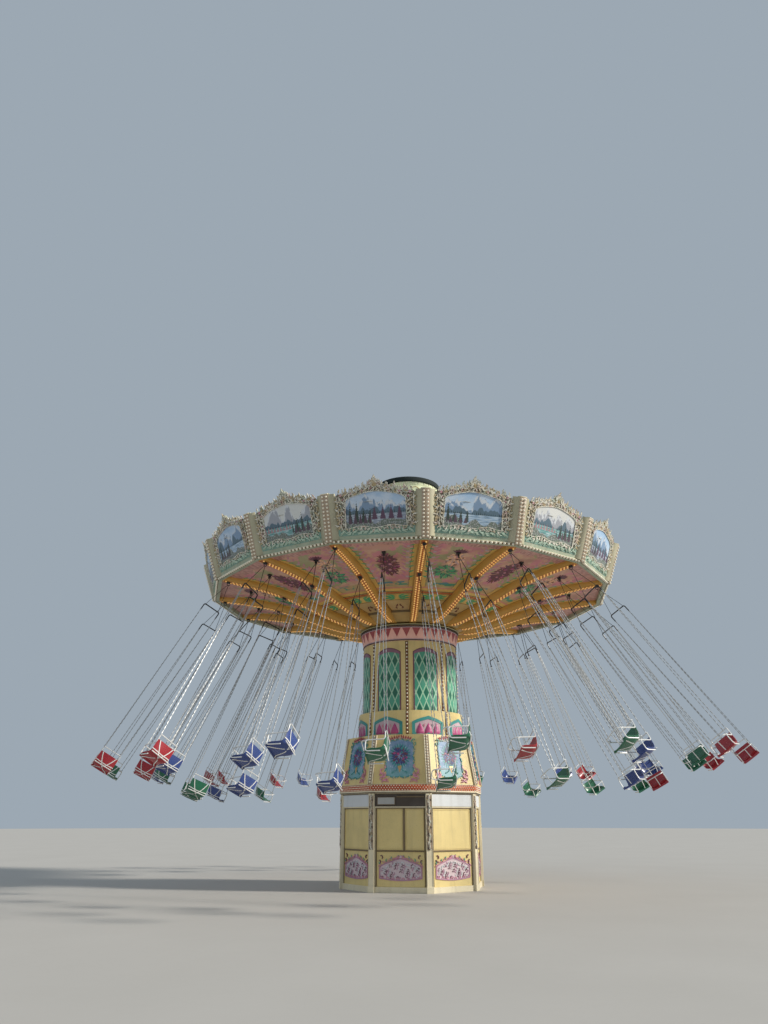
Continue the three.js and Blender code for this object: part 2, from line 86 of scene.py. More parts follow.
class SwingRideSizes(bpy.types.PropertyGroup):
    """Sizes and angles of the ride that its dressing follows."""

    rim_radius: length_property("Rim radius", "From the axis to the boards' lower corners", 6.14)
    crest_radius: length_property("Board top radius", "From the axis to the boards' upper corners", 6.55)
    rim_height: length_property(
        "Rim height", "Height of the boards' lower edge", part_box("rounding_boards_1")[0].z)
    board_rise: length_property("Board rise", "Height of a rounding board at its corners", 1.22)
    base_face: length_property(
        "Wall distance", "From the axis to a wall's face", -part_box("wall_panel_1")[0].y)
    post_radius: length_property("Post radius", "From the axis to a corner post's face", 2.055)
    lower_drum: length_property(
        "Lower drum radius", "Outside radius of the lower drum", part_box("lower_drum")[1].x)
    upper_drum: length_property(
        "Upper drum radius", "Outside radius of the upper drum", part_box("upper_drum")[1].x)
    lamp_pitch: length_property("Lamp pitch", "Distance from lamp to lamp in a row", 0.078)
    lamp_radius: length_property("Lamp radius", "Radius of a lamp's cap", 0.026)
    swing_length: length_property("Swing length", "From the hanging point to the seat", 5.9)
    chain_pitch: length_property("Chain pitch", "Length of one link", 0.062)
    outer_out: angle_property("Outer swing-out", "Mean angle of the outer chairs' chains", 32.5)
    middle_out: angle_property("Middle swing-out", "Mean angle of the middle chairs' chains", 29.5)
    inner_out: angle_property("Inner swing-out", "Mean angle of the inner chairs' chains", 25.5)
    lean_back: angle_property("Lean back", "How far the chains trail behind the turning crown", 3.0)
    crown_azimuth: angle_property("Crown azimuth", "Turn of the first sweep from the front", 13.4)
    drum_azimuth: angle_property("Drum azimuth", "Turn of the drums' first panel edge from the front", 6.0)


class SwingRideColours(bpy.types.PropertyGroup):
    """Paint colours of the ride."""

    cream: colour_property("Cream", "Posts, cornice and strips", (0.73, 0.65, 0.46))
    yellow: colour_property("Yellow", "Panels of the base, skirt and drums", (0.72, 0.57, 0.24))
    sage: colour_property("Sage", "Ground of the rounding boards", (0.36, 0.41, 0.30))
    gold: colour_property("Gold", "Sweeps and ceiling borders", (0.66, 0.37, 0.08))
    pink: colour_property("Pink", "Flared collar", (0.92, 0.51, 0.42))
    red: colour_property("Red seats", "Red chairs", (0.33, 0.015, 0.025))
    green: colour_property("Green seats", "Green chairs", (0.014, 0.125, 0.065))
    blue: colour_property("Blue seats", "Blue chairs", (0.03, 0.06, 0.22))


def sizes():
    return bpy.context.scene.swing_ride_sizes


def colours():
    return bpy.context.scene.swing_ride_colours


def radial(azimuth):
    """The level direction away from the axis at an azimuth in degrees, counted from -Y towards +X."""
    a = math.radians(azimuth)
    return np.array([math.sin(a), -math.cos(a), 0.0])


def tangent(azimuth):
    """The level direction round the axis at an azimuth, to the right for someone outside the ride."""
    a = math.radians(azimuth)
    return np.array([math.cos(a), math.sin(a), 0.0])


def sweep_azimuth(number):
    return math.degrees(sizes().crown_azimuth) + number * CROWN_STEP


def drum_edge(panel):
    return math.degrees(sizes().drum_azimuth) + panel * 360 / DRUM_PANELS


def unit(vectors):
    return vectors / np.linalg.norm(vectors, axis=-1, keepdims=True)


class Face:
    """A flat working surface: x runs across it, y up it, and d stands out of it."""

    def __init__(self, origin, across, up):
        self.origin, self.across, self.up = origin, across, up
        self.out = np.cross(across, up)

    def at(self, x, y, d):
        x, y, d = (v[..., None] for v in np.broadcast_arrays(x, y, d))
        return self.origin + x * self.across + y * self.up + d * self.out


class Barrel:
    """A round or conical working surface: x runs round the axis, y up it, and d stands out of it."""

    def __init__(self, azimuth, radius, foot, flare=0.0):
        self.azimuth, self.radius, self.foot, self.flare = math.radians(azimuth), radius, foot, flare

    def at(self, x, y, d):
        x, y, d = np.broadcast_arrays(x, y, d)
        r = self.radius + self.flare * y + d
        a = self.azimuth + x / self.radius
        return np.stack([r * np.sin(a), -r * np.cos(a), self.foot + y], -1)


class Overhead:
    """The crown's underside: x runs across, y away from the axis, and d hangs down from a height over y."""

    def __init__(self, azimuth, height):
        self.across, self.along, self.height = tangent(azimuth), radial(azimuth), height

    def at(self, x, y, d):
        x, y, d = np.broadcast_arrays(x, y, d)
        z = self.height(y) - d
        return x[..., None] * self.across + y[..., None] * self.along + z[..., None] * UP


def smooth_height(points):
    """A height over distance through some points, by a cubic between each two with shared slopes."""
    reach, height = np.array(points).T
    slope = np.gradient(height, reach)

    def at(y):
        y = np.clip(y, reach[0], reach[-1])
        i = np.clip(np.searchsorted(reach, y) - 1, 0, len(reach) - 2)
        span = reach[i + 1] - reach[i]
        t = (y - reach[i]) / span
        ends = height[i] * (1 + 2 * t) * (1 - t) ** 2 + height[i + 1] * t * t * (3 - 2 * t)
        return ends + span * (slope[i] * t * (1 - t) ** 2 - slope[i + 1] * t * t * (1 - t))

    return at


class Form:
    """One small shape: its points, and its faces in blocks whose rows have equally many corners."""

    def __init__(self, points, blocks):
        self.points, self.blocks = np.asarray(points, float), blocks


def grid_faces(rows, columns, close_rows=False, close_columns=False):
    """Four-cornered faces between the points of a grid, which may close on itself either way."""
    i = np.arange(rows if close_rows else rows - 1)[:, None]
    j = np.arange(columns if close_columns else columns - 1)[None, :]
    n, k = (i + 1) % rows, (j + 1) % columns
    corners = [i * columns + j, n * columns + j, n * columns + k, i * columns + k]
    return np.stack(np.broadcast_arrays(*corners), -1).reshape(-1, 4)


def capped(rings):
    """A closed form from rings of points, clockwise as seen from the last, with flat caps at both ends."""
    rows, columns = rings.shape[:2]
    last = (rows - 1) * columns
    caps = np.stack([np.arange(columns), last + np.arange(columns)[::-1]])
    return Form(rings.reshape(-1, 3), [grid_faces(rows, columns, close_columns=True), caps])


def endless(rings):
    """A closed form from rings of points whose last ring joins the first."""
    rows, columns = rings.shape[:2]
    return Form(rings.reshape(-1, 3), [grid_faces(rows, columns, True, True)])


def bar_rings(path, half_width, half_height, sides, up, closed):
    """Ellipses along a path, half_height towards up, widened at corners so that the sides stay parallel."""
    path = np.asarray(path, float)
    half_height = half_width if half_height is None else half_height
    ahead = unit(np.roll(path, -1, 0) - path)
    behind = np.roll(ahead, 1, 0)
    if not closed:
        ahead[-1] = behind[-1]
        behind[0] = ahead[0]
    along = unit(ahead + behind)
    mitre = 1 / np.clip(np.sum(along * ahead, -1), 0.6, 1)
    across = unit(np.cross(along, up))
    lift = np.cross(across, along)
    angle = (np.arange(sides) + 0.5) * 2 * np.pi / sides
    wide = (mitre * half_width)[:, None, None]
    high = np.broadcast_to(half_height, len(path))[:, None, None]
    return (path[:, None] + np.cos(angle)[:, None] * across[:, None] * wide
            + np.sin(angle)[:, None] * lift[:, None] * high)


def rod(path, half_width, half_height=None, sides=6, up=UP):
    """A bar along an open path."""
    return capped(bar_rings(path, half_width, half_height, sides, up, False))


def hoop(path, half_width, half_height=None, sides=4, up=UP):
    """A bar along a closed path."""
    return endless(bar_rings(path, half_width, half_height, sides, up, True))


def turned(profile, sides):
    """A round form about local z from (radius, height) pairs, lowest first, with flat ends."""
    return capped(turn_rings(profile, sides))


def turned_ring(profile, sides):
    """A round form about local z from a closed outline of (radius, height) pairs, its outer side upwards."""
    return endless(turn_rings(profile, sides))


def turn_rings(profile, sides):
    radius, height = np.asarray(profile, float).T
    angle = np.arange(sides) * 2 * np.pi / sides
    level = np.broadcast_to(height[:, None], (len(radius), sides))
    return np.stack([radius[:, None] * np.cos(angle), -radius[:, None] * np.sin(angle), level], -1)


def slab(front, back):
    """A closed plate between a front and a back grid of points."""
    rows, columns = front.shape[:2]
    count = rows * columns
    index = np.arange(count).reshape(rows, columns)
    loop = np.concatenate([index[0, :-1], index[:-1, -1], index[-1, :0:-1], index[:0:-1, 0]])
    ahead = np.roll(loop, -1)
    rim = np.stack([count + loop, count + ahead, ahead, loop], -1)
    faces = grid_faces(rows, columns)
    points = np.concatenate([front.reshape(-1, 3), back.reshape(-1, 3)])
    return Form(points, [faces[:, ::-1], faces + count, rim])


def plaque(x, bottom, top, back, front, rows=2):
    """A plate over columns at x, from its bottom to its top edge, which may be functions of x."""
    x = np.asarray(x, float)
    low, high = (np.broadcast_to(edge(x) if callable(edge) else edge, x.shape) for edge in (bottom, top))
    y = low + np.linspace(0, 1, rows)[:, None] * (high - low)
    grid = [np.stack(np.broadcast_arrays(x, y, d), -1) for d in (front, back)]
    return slab(*grid)


def raised(flat, d):
    """Flat points of x and y, all standing d out."""
    flat = np.asarray(flat, float)
    return np.column_stack([flat, np.full(len(flat), d)])


def bowed(half, count):
    """Values from -half to half that lie closer together towards both ends, as the sine of even steps."""
    return half * np.sin(np.linspace(-np.pi / 2, np.pi / 2, count))


def edge_line(x, height):
    """The flat path over x at a height that is a function of x."""
    return np.stack([x, height(x)], -1)


def outline(x, foot, top):
    """The closed flat path along a top edge and back along a foot edge."""
    return np.concatenate([edge_line(x, top), edge_line(x, foot)[::-1]])


def left_side(x, foot, top):
    """The flat path from the middle of a foot edge round the left end to the middle of the top edge."""
    left = x[:len(x) // 2 + 1]
    return np.concatenate([edge_line(left, foot)[::-1], edge_line(left, top)])


def pad(edge, layers):
    """A closed pad over an anticlockwise flat edge: each layer is a share of its size, at a height."""
    edge = np.asarray(edge, float)
    middle = edge.mean(0)
    rings = [raised(middle + (edge - middle) * share, height) for share, height in layers]
    return capped(np.stack(rings)[:, ::-1])


def block(x0, x1, y0, y1, back, front, edge=0.004):
    """A plate with a narrow chamfer round its front."""
    corners = np.array([[x0, y0], [x1, y0], [x1, y1], [x0, y1]])
    inner = corners + edge * np.array([[1, 1], [-1, 1], [-1, -1], [1, -1]])
    rings = [raised(corners, back), raised(corners, front - edge), raised(inner, front)]
    return capped(np.stack(rings)[:, ::-1])


def strip(half, foot, head, back, front, edge=0.004):
    """A plate that reaches half to each side of x = 0."""
    return block(-half, half, foot, head, back, front, edge)


def prism(section, foot, head):
    """An upright bar from foot to head over a section of x and d, anticlockwise with d drawn upwards."""
    x, d = np.asarray(section, float).T
    return capped(np.stack([np.stack([x, np.full_like(x, y), d], -1) for y in (foot, head)]))


def rounded(corners, radius, steps=4):
    """A path through corners, each rounded off by a curve that starts and ends radius away from it."""
    corners = np.asarray(corners, float)
    path = [corners[:1]]
    t = np.linspace(0, 1, steps)[:, None]
    for before, corner, after in zip(corners, corners[1:], corners[2:]):
        start = corner + radius * unit(before - corner)
        end = corner + radius * unit(after - corner)
        path.append((1 - t) ** 2 * start + 2 * t * (1 - t) * corner + t ** 2 * end)
    path.append(corners[-1:])
    return np.concatenate(path)


def curl(bend, thick=0.088, high=0.13, points=9, steps=81):
    """A carved scroll one unit long: its heading turns by bend(s) as s runs from 0 to 1 along it."""
    heading = np.cumsum(bend(np.linspace(0, 1, steps))) / steps
    heading = heading - heading[steps // 2]
    x, y = np.cumsum(np.cos(heading)) / steps, np.cumsum(np.sin(heading)) / steps
    path = np.stack([x - x.mean(), y - y.mean(), np.full_like(x, high * 0.4)], -1)
    path = path[np.linspace(0, steps - 1, points).astype(int)]
    swell = 0.5 + 0.5 * np.sin(np.pi * np.linspace(0, 1, points))
    return rod(path, thick * swell, high * swell, 4)


def leaf(points=7, wide=0.22, rise=0.20):
    """A carved leaf one unit long: a low ridge that swells, narrows, swells again and ends in a point."""
    t = np.linspace(0, 1, points)
    width = wide * np.sin(np.pi * (0.08 + 0.88 * t)) * (1 + 0.25 * np.cos(4 * np.pi * t))
    path = np.stack([t, 0.12 * np.sin(np.pi * t), 0.2 * rise + rise * t ** 2], -1)
    return rod(path, width, 0.45 * width + 0.02, 4)


def blossom(petals=5, layers=((1.0, 0.0), (0.92, 0.14), (0.36, 0.18), (0.22, 0.34))):
    """A carved flower of unit radius: rings of a petalled outline that rise to a button in the middle."""
    angle = np.arange(2 * petals) * np.pi / petals
    edge = np.where(np.arange(2 * petals) % 2, 0.74, 1.0)
    rings = []
    for share, height in layers:
        radius = share * (edge if share > 0.5 else 1.0)
        rings.append(np.stack(np.broadcast_arrays(
            radius * np.cos(angle), -radius * np.sin(angle), height), -1))
    return capped(np.stack(rings))


def flat_leaf(wide=0.17):
    """A painted leaf one unit long: a thin pad between two bowed edges."""
    t = np.array([0.0, 0.25, 0.6, 1.0])
    bow = wide * np.sin(np.pi * t ** 0.8)
    lower = np.stack([t, -bow], -1)
    upper = np.stack([t, bow], -1)[-2:0:-1]
    return pad(np.concatenate([lower, upper]), ((1.0, 0.0), (0.96, 0.03)))


def flat_flower(petals=5):
    """A painted flower of unit radius: a thin petalled pad."""
    angle = np.arange(3 * petals) * 2 * np.pi / (3 * petals)
    edge = np.where(np.arange(3 * petals) % 3 == 0, 0.62, 1.0)
    outline = np.stack([edge * np.cos(angle), edge * np.sin(angle)], -1)
    return pad(outline, ((1.0, 0.0), (0.97, 0.10)))


C_SCROLL = curl(lambda s: 2.4 + 15 * np.abs(2 * s - 1) ** 2.2)
S_SCROLL = curl(lambda s: 20 * (2 * s - 1) * np.abs(2 * s - 1) ** 0.8)
LEAF = leaf()
BLOSSOM = blossom()
FLAT_LEAF = flat_leaf()
FLAT_FLOWER = flat_flower()
LAMP = turned(((1.0, 0.0), (0.92, 0.75), (0.42, 1.25)), 6)


def spots(x, y, turn=0.0, size=1.0, flip=1.0):
    """Rows of x, y, turn in degrees, size and flip, 1 or -1, for copies of a form."""
    columns = np.broadcast_arrays(*(np.asarray(value, float) for value in (x, y, turn, size, flip)))
    return np.stack([column.ravel() for column in columns], -1)


def row(first, last, pitch):
    """Evenly spaced values between two ends, as near the pitch as fits, set in by half a step at each end."""
    count = max(1, round(abs(last - first) / pitch))
    return first + (last - first) * (np.arange(count) + 0.5) / count


def beside(path, pitch, offset=0.0, turn=0.0, size=0.1, flips=(1, -1)):
    """Spots along a flat path, turned with it and standing offset to its left, with alternating flips."""
    path = np.asarray(path, float)
    length = np.concatenate([[0], np.cumsum(np.linalg.norm(np.diff(path, axis=0), axis=1))])
    s = row(0, length[-1], pitch)

    def at(distance):
        return np.stack([np.interp(distance, length, path[:, axis]) for axis in (0, 1)])

    x, y = at(s)
    run, rise = at(s + pitch / 3) - at(s - pitch / 3)
    heading = np.arctan2(rise, run)
    flip = np.resize(np.asarray(flips, float), len(s))
    x, y = x - offset * np.sin(heading), y + offset * np.cos(heading)
    return spots(x, y, np.degrees(heading) + turn, size, flip)


def mirrored(places):
    """The spots and their mirror images across x = 0."""
    other = places * np.array([-1, 1, -1, 1, -1.0])
    other[:, 2] += 180
    return np.concatenate([places, other])


def shaken(places, seed, turn=12.0, size=0.15):
    """The spots with small seeded changes of turn and size, as hand-cut carving has."""
    draw = np.random.default_rng(seed)
    places = places.copy()
    places[:, 2] += draw.uniform(-turn, turn, len(places))
    places[:, 3] *= draw.uniform(1 - size, 1 + size, len(places))
    return places


class Shell:
    """Gathers forms, each laid on a surface or set in space with its paint, and makes them one mesh."""

    def __init__(self, paint=None):
        self.points, self.patterns, self.blocks, self.total = [], [], [], 0
        self.paint = paint

    def put(self, points, blocks, paint=None, pattern=None):
        flat = np.asarray(points, float).reshape(-1, 3)
        self.points.append(flat)
        self.patterns.append(np.zeros((len(flat), 2)) if pattern is None else pattern)
        self.blocks += [(corners + self.total, paint or self.paint) for corners in blocks]
        self.total += len(flat)

    def add(self, form, paint=None):
        """A form whose points already stand in their place."""
        self.put(form.points, form.blocks, paint)

    def ring(self, profile, paint=None):
        """A smooth ring about the axis over a closed outline of (radius, height) pairs."""
        self.add(turned_ring(profile, DRUM_SIDES), paint)

    def on(self, place, form, paint=None, shift=0.0):
        """A form in the surface's own x, y and d. Its pattern follows x and y, with x shifted."""
        x, y, d = form.points.T
        self.put(place.at(x, y, d), form.blocks, paint, form.points[:, :2] + (shift, 0.0))

    def pair(self, place, inner, outer, foot, head, front, paint):
        """Two upright bars, one on each side of x = 0."""
        self.on(place, block(-outer, -inner, foot, head, 0, front), paint)
        self.on(place, block(inner, outer, foot, head, 0, front), paint)

    def lay(self, place, form, places, paint=None, lift=0.0):
        """Copies of a form on a surface at the spots, lifted off it."""
        fx, fy, fz = form.points.T
        for flip in (1.0, -1.0):
            x, y, turn, size, _ = places[places[:, 4] == flip].T[..., None]
            if not len(x):
                continue
            c, s = np.cos(np.radians(turn)), np.sin(np.radians(turn))
            px = x + size * (c * fx - s * fy * flip)
            py = y + size * (s * fx + c * fy * flip)
            starts = np.arange(len(x))[:, None, None] * len(form.points)
            sides = [b if flip > 0 else b[:, ::-1] for b in form.blocks]
            blocks = [(b[None] + starts).reshape(-1, b.shape[1]) for b in sides]
            self.put(place.at(px, py, lift + size * fz), blocks, paint, np.stack([px, py], -1).reshape(-1, 2))

    def trail(self, place, path, rows, seed=0):
        """Carving along a path and its mirror image across x = 0.

        A row is a form, its pitch, offset, turn, size, seed, paint and lift, and its flips if not 1, -1.
        """
        for form, pitch, offset, turn, size, number, paint, lift, *flips in rows:
            places = mirrored(beside(path, pitch, offset, turn, size, flips or (1, -1)))
            self.lay(place, form, shaken(places, seed + number), paint, lift)

    def set(self, form, origins, across, along, paint=None):
        """Copies of a form in space: its x follows across, its y along, and its z stands square to both."""
        origins = np.atleast_2d(origins)
        directions = (across, along, np.cross(across, along))
        axes = [np.broadcast_to(axis, origins.shape)[:, None] for axis in directions]
        fx, fy, fz = form.points.T[:, None, :, None]
        points = origins[:, None] + fx * axes[0] + fy * axes[1] + fz * axes[2]
        starts = np.arange(len(origins))[:, None, None] * len(form.points)
        self.put(points, [(b[None] + starts).reshape(-1, b.shape[1]) for b in form.blocks], paint)

    def form(self):
        """What has been gathered, as one form."""
        return Form(np.concatenate(self.points), [faces for faces, _ in self.blocks])

    def build(self, name, body, slot, smooth=38, node=None):
        """One mesh at the origin that rides on a body, and takes the place of a node where one is named."""
        points, patterns = np.concatenate(self.points), np.concatenate(self.patterns)
        corners = np.concatenate([faces.ravel() for faces, _ in self.blocks])
        counts = np.concatenate([np.full(len(faces), faces.shape[1]) for faces, _ in self.blocks])
        paints = list(dict.fromkeys(paint for _, paint in self.blocks))
        paint_of = np.concatenate([np.full(len(faces), paints.index(paint)) for faces, paint in self.blocks])
        mesh = bpy.data.meshes.new(name)
        for items, data in ((mesh.vertices, points), (mesh.loops, corners), (mesh.polygons, counts)):
            items.add(len(data))
        for items, key, values in (
                (mesh.vertices, "co", points.ravel()), (mesh.loops, "vertex_index", corners),
                (mesh.polygons, "loop_start", np.cumsum(counts) - counts),
                (mesh.polygons, "material_index", paint_of),
                (mesh.polygons, "use_smooth", np.ones(len(counts), bool))):
            items.foreach_set(key, values)
        pattern = mesh.uv_layers.new(name="Pattern")
        pattern.uv.foreach_set("vector", patterns[corners].astype(np.float32).ravel())
        mesh.update(calc_edges=True)
        mesh.set_sharp_from_angle(angle=math.radians(smooth))
        for paint in paints:
            mesh.materials.append(finish(paint))
        piece = stand(name, mesh, 0, 0)
        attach(piece, body)
        if node:
            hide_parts(node)
        return piece


class Field:
    """A value that changes over the surface, made by nodes. Fields add and multiply like numbers."""

    def __init__(self, tree, socket):
        self.tree, self.socket = tree, socket

    def join(self, kind, *values):
        node = self.tree.nodes.new("ShaderNodeMath")
        node.operation = kind
        for slot, value in zip(node.inputs, values):
            if isinstance(value, Field):
                self.tree.links.new(value.socket, slot)
            else:
                slot.default_value = value
        return Field(self.tree, node.outputs[0])

    def __add__(self, other):
        return self.join("ADD", self, other)

    __radd__ = __add__

    def __sub__(self, other):
        return self.join("SUBTRACT", self, other)

    def __rsub__(self, other):
        return self.join("SUBTRACT", other, self)

    def __mul__(self, other):
        return self.join("MULTIPLY", self, other)

    __rmul__ = __mul__

    def __truediv__(self, other):
        return self.join("DIVIDE", self, other)

    def __abs__(self):
        return self.join("ABSOLUTE", self)

    def least(self, other):
        return self.join("MINIMUM", self, other)

    def most(self, other):
        return self.join("MAXIMUM", self, other)

    def whole(self):
        return self.join("FLOOR", self)

    def part(self):
        return self.join("FRACT", self)

    def wave(self):
        return self.join("SINE", self)

    def past(self, edge, soft=0.004):
        """0 below an edge and 1 above it, with a soft change between."""
        node = self.tree.nodes.new("ShaderNodeMapRange")
        node.interpolation_type = "SMOOTHSTEP"
        self.tree.links.new((self - edge).socket, node.inputs["Value"])
        node.inputs["From Min"].default_value = -soft
        node.inputs["From Max"].default_value = soft
        return Field(self.tree, node.outputs["Result"])

    def within(self, edge, soft=0.004):
        return 1 - self.past(edge, soft)


class Finish:
    """One material in the making: colours are laid over each other by fields."""

    def __init__(self, name, colour, roughness=0.5, metallic=0.0):
        self.material = bpy.data.materials.new(f"ride_{name}")
        self.material.use_nodes = True
        self.tree = self.material.node_tree
        self.shader = self.tree.nodes["Principled BSDF"]
        self.shader.inputs["Metallic"].default_value = metallic
        self.roughness = roughness
        self.colour = tuple(colour)
        self.places = self.tree.nodes.new("ShaderNodeTexCoord")

    def parts(self, socket):
        node = self.tree.nodes.new("ShaderNodeSeparateXYZ")
        self.tree.links.new(socket, node.inputs[0])
        return [Field(self.tree, output) for output in node.outputs]

    def pattern(self):
        """The pattern's own x and y, in metres on the piece's surface."""
        return self.parts(self.places.outputs["UV"])[:2]

    def texture(self, kind, scale, source, stretch):
        mapping = self.tree.nodes.new("ShaderNodeMapping")
        mapping.inputs["Scale"].default_value = stretch
        self.tree.links.new(self.places.outputs[source], mapping.inputs["Vector"])
        node = self.tree.nodes.new(kind)
        node.inputs["Scale"].default_value = scale
        self.tree.links.new(mapping.outputs[0], node.inputs["Vector"])
        return node

    def noise(self, scale, detail=3.0, stretch=(1, 1, 1), source="Object"):
        node = self.texture("ShaderNodeTexNoise", scale, source, stretch)
        node.inputs["Detail"].default_value = detail
        return Field(self.tree, node.outputs[0])

    def cells(self, scale, source="Object", stretch=(1, 1, 1)):
        """Distance from the middle of scattered cells, and a steady value of its own for each cell."""
        node = self.texture("ShaderNodeTexVoronoi", scale, source, stretch)
        return Field(self.tree, node.outputs["Distance"]), self.parts(node.outputs["Color"])[0]

    def hills(self, along, scale, detail=2.0):
        """A wavy height along one value, such as a line of hills."""
        node = self.tree.nodes.new("ShaderNodeTexNoise")
        node.noise_dimensions = "1D"
        node.inputs["Scale"].default_value = scale
        node.inputs["Detail"].default_value = detail
        self.tree.links.new(along.socket, node.inputs["W"])
        return Field(self.tree, node.outputs[0])

    def over(self, colour, share):
        """Lays a colour over what is there, as far as the share says."""
        node = self.tree.nodes.new("ShaderNodeMix")
        node.data_type = "RGBA"
        self.tree.links.new(share.socket, node.inputs[0])
        for socket, value in ((node.inputs[6], self.colour), (node.inputs[7], tuple(colour))):
            if len(value) == 3:
                socket.default_value = (*value, 1.0)
            else:
                self.tree.links.new(value[0], socket)
        self.colour = (node.outputs[2],)
        return self

    def weather(self, amount=0.25, dirt=(0.16, 0.13, 0.09), streaks=0.0):
        """Cloudy fading and fine specks of dirt, and streaks that run down where asked."""
        cloud = self.noise(1.6, 4.0)
        specks = self.noise(38, 3.0)
        self.over((0.90, 0.88, 0.82), (cloud - 0.5).most(0.0) * (amount * 0.8))
        self.over(dirt, (0.5 - cloud).most(0.0) * (amount * 3.0) + specks.past(0.64, 0.05) * (amount * 0.5))
        if streaks:
            runs = self.noise(5.0, 3.0, (1.0, 1.0, 0.07))
            self.over(dirt, runs.past(0.58, 0.08) * streaks)
        return self

    def done(self, bump=0.15, scale=60.0, distance=0.004):
        """Joins the colour, a varied roughness and a fine bump to the shader."""
        self.tree.links.new(self.colour[0], self.shader.inputs["Base Color"])
        grain = self.noise(scale, 3.0)
        self.tree.links.new((grain * 0.16 + (self.roughness - 0.08)).socket, self.shader.inputs["Roughness"])
        node = self.tree.nodes.new("ShaderNodeBump")
        node.inputs["Strength"].default_value = bump
        node.inputs["Distance"].default_value = distance
        self.tree.links.new(grain.socket, node.inputs["Height"])
        self.tree.links.new(node.outputs[0], self.shader.inputs["Normal"])
        return self.material


def plain(name, colour, amount=0.25, streaks=0.0, roughness=0.5, metallic=0.0):
    """Brushed or moulded paint of one colour, faded, specked and streaked by the weather."""
    return Finish(name, colour, roughness, metallic).weather(amount, streaks=streaks).done()


def lamp_glass(name, colour, glow):
    """A frosted lamp cap with cloudy glass and a faint glow."""
    made = Finish(name, colour, 0.28)
    made.over(tuple(0.55 * c for c in colour), made.noise(55, 2.0) * 0.5)
    made.shader.inputs["Coat Weight"].default_value = 0.4
    made.shader.inputs["Emission Color"].default_value = (*colour, 1.0)
    made.shader.inputs["Emission Strength"].default_value = glow
    return made.done(0.05, 90)


PICTURE_STEP = 4.0
PICTURE_MIDDLE = 0.80


def firs(x, y, foot, pitch, height):
    """Pointed firs along a line: each is as tall as chance says, and its ragged sides meet at the tip.

    A tree's edge falls from its tip in step with the distance from its trunk, less a saw of small branches.
    """
    place = x / pitch
    chance = ((place.whole() * 12.9898).wave() * 437.585).part()
    from_trunk = abs(place.part() - 0.5) * 2.0
    branches = (y / (height * 0.13)).part() * 0.28
    tip = foot + (chance * 0.7 + 0.5) * height * (1.0 - from_trunk * 1.25 - branches)
    return (tip - y).past(0.0, 0.006) * y.past(foot - 0.02, 0.01)


def picture_paint():
    """A painted lake view: clouds, snowy peaks, hills, firs on the far shore, a lake, and firs close by.

    Each board's pattern is shifted by a whole number of steps, so that each shows its own view.
    """
    made = Finish("picture_paint", (0.28, 0.45, 0.68), 0.42)
    across, up = made.pattern()
    number = (across / PICTURE_STEP + 0.5).whole()
    x = across - number * PICTURE_STEP
    y = up - PICTURE_MIDDLE
    mood = (number * 0.618).part()
    pale = mood.past(0.5, 0.01)
    violet = mood.past(0.2, 0.01) * mood.within(0.5, 0.01)
    made.over((0.54, 0.65, 0.76), y.within(0.30, 0.30) * 0.8)
    clouds = made.noise(2.4, 4.0, (0.5, 1, 1), "UV").past(0.52, 0.07)
    made.over((0.62, 0.70, 0.80), clouds * y.past(0.10, 0.1) * 0.7)
    made.over((0.66, 0.65, 0.60), pale * 0.85)
    far = made.hills(across, 2.6, 4.0) * 1.3 - 0.46
    below_far = (far - y).past(0.0, 0.008)
    made.over((0.20, 0.30, 0.44), below_far)
    made.over((0.40, 0.38, 0.38), below_far * pale * 0.7)
    patches = made.noise(12.0, 3.0, (1, 0.5, 1), "UV").past(0.45, 0.04)
    snow = below_far * (y - far + 0.11).past(0.0, 0.03) * patches
    made.over((0.66, 0.69, 0.72), snow * 0.85)
    near = made.hills(across + 31.7, 3.4) * 0.6 - 0.31
    made.over((0.09, 0.15, 0.20), (near - y).past(0.0, 0.008))
    made.over((0.02, 0.05, 0.06), firs(across, y, -0.13, 0.055, 0.10))
    lake = y.within(-0.12, 0.006)
    made.over((0.30, 0.43, 0.58), lake)
    made.over((0.13, 0.34, 0.33), lake * pale)
    made.over((0.26, 0.25, 0.31), lake * violet * 0.7)
    glint = made.noise(8.0, 3.0, (0.5, 6.0, 1.0), "UV")
    made.over((0.54, 0.62, 0.66), lake * glint.past(0.54, 0.04) * 0.7)
    made.over((0.06, 0.11, 0.14), lake * glint.within(0.43, 0.04) * 0.6)
    shore = made.hills(across + 77.0, 2.1) * 0.5 - 0.54
    ground = (shore - y).past(0.0, 0.008)
    made.over((0.13, 0.16, 0.13), ground)
    made.over((0.42, 0.42, 0.44), ground * made.noise(26.0, 4.0, source="UV").past(0.54, 0.05) * 0.7)
    side = x * (pale * 2.0 - 1.0)
    close = side.past(0.12, 0.02) * side.within(0.70, 0.02)
    for colour, shift, foot, pitch, height, share in (
            ((0.035, 0.055, 0.045), 0.07, -0.30, 0.17, 0.50, close),
            ((0.09, 0.055, 0.08), 0.0, -0.33, 0.13, 0.26, close),
            ((0.36, 0.21, 0.23), 0.4, -0.20, 0.10, 0.15, pale * side.within(0.1, 0.02)),
            ((0.10, 0.05, 0.09), 0.2, -0.24, 0.21, 0.36, violet * side.within(0.2, 0.02))):
        made.over(colour, firs(across + shift, y, foot, pitch, height) * share)
    return made.weather(0.12).done(0.2, 45)


def sage_board():
    """Sage painted boards, greener in places and creamier where the weather has chalked them."""
    made = Finish("sage_board", colours().sage, 0.6)
    made.over((0.56, 0.54, 0.42), made.noise(2.2, 4.0).past(0.55, 0.12) * 0.45)
    made.over((0.14, 0.28, 0.22), made.noise(7.0, 4.0).past(0.58, 0.08) * 0.35)
    return made.weather(0.3, streaks=0.2).done(0.25, 40)


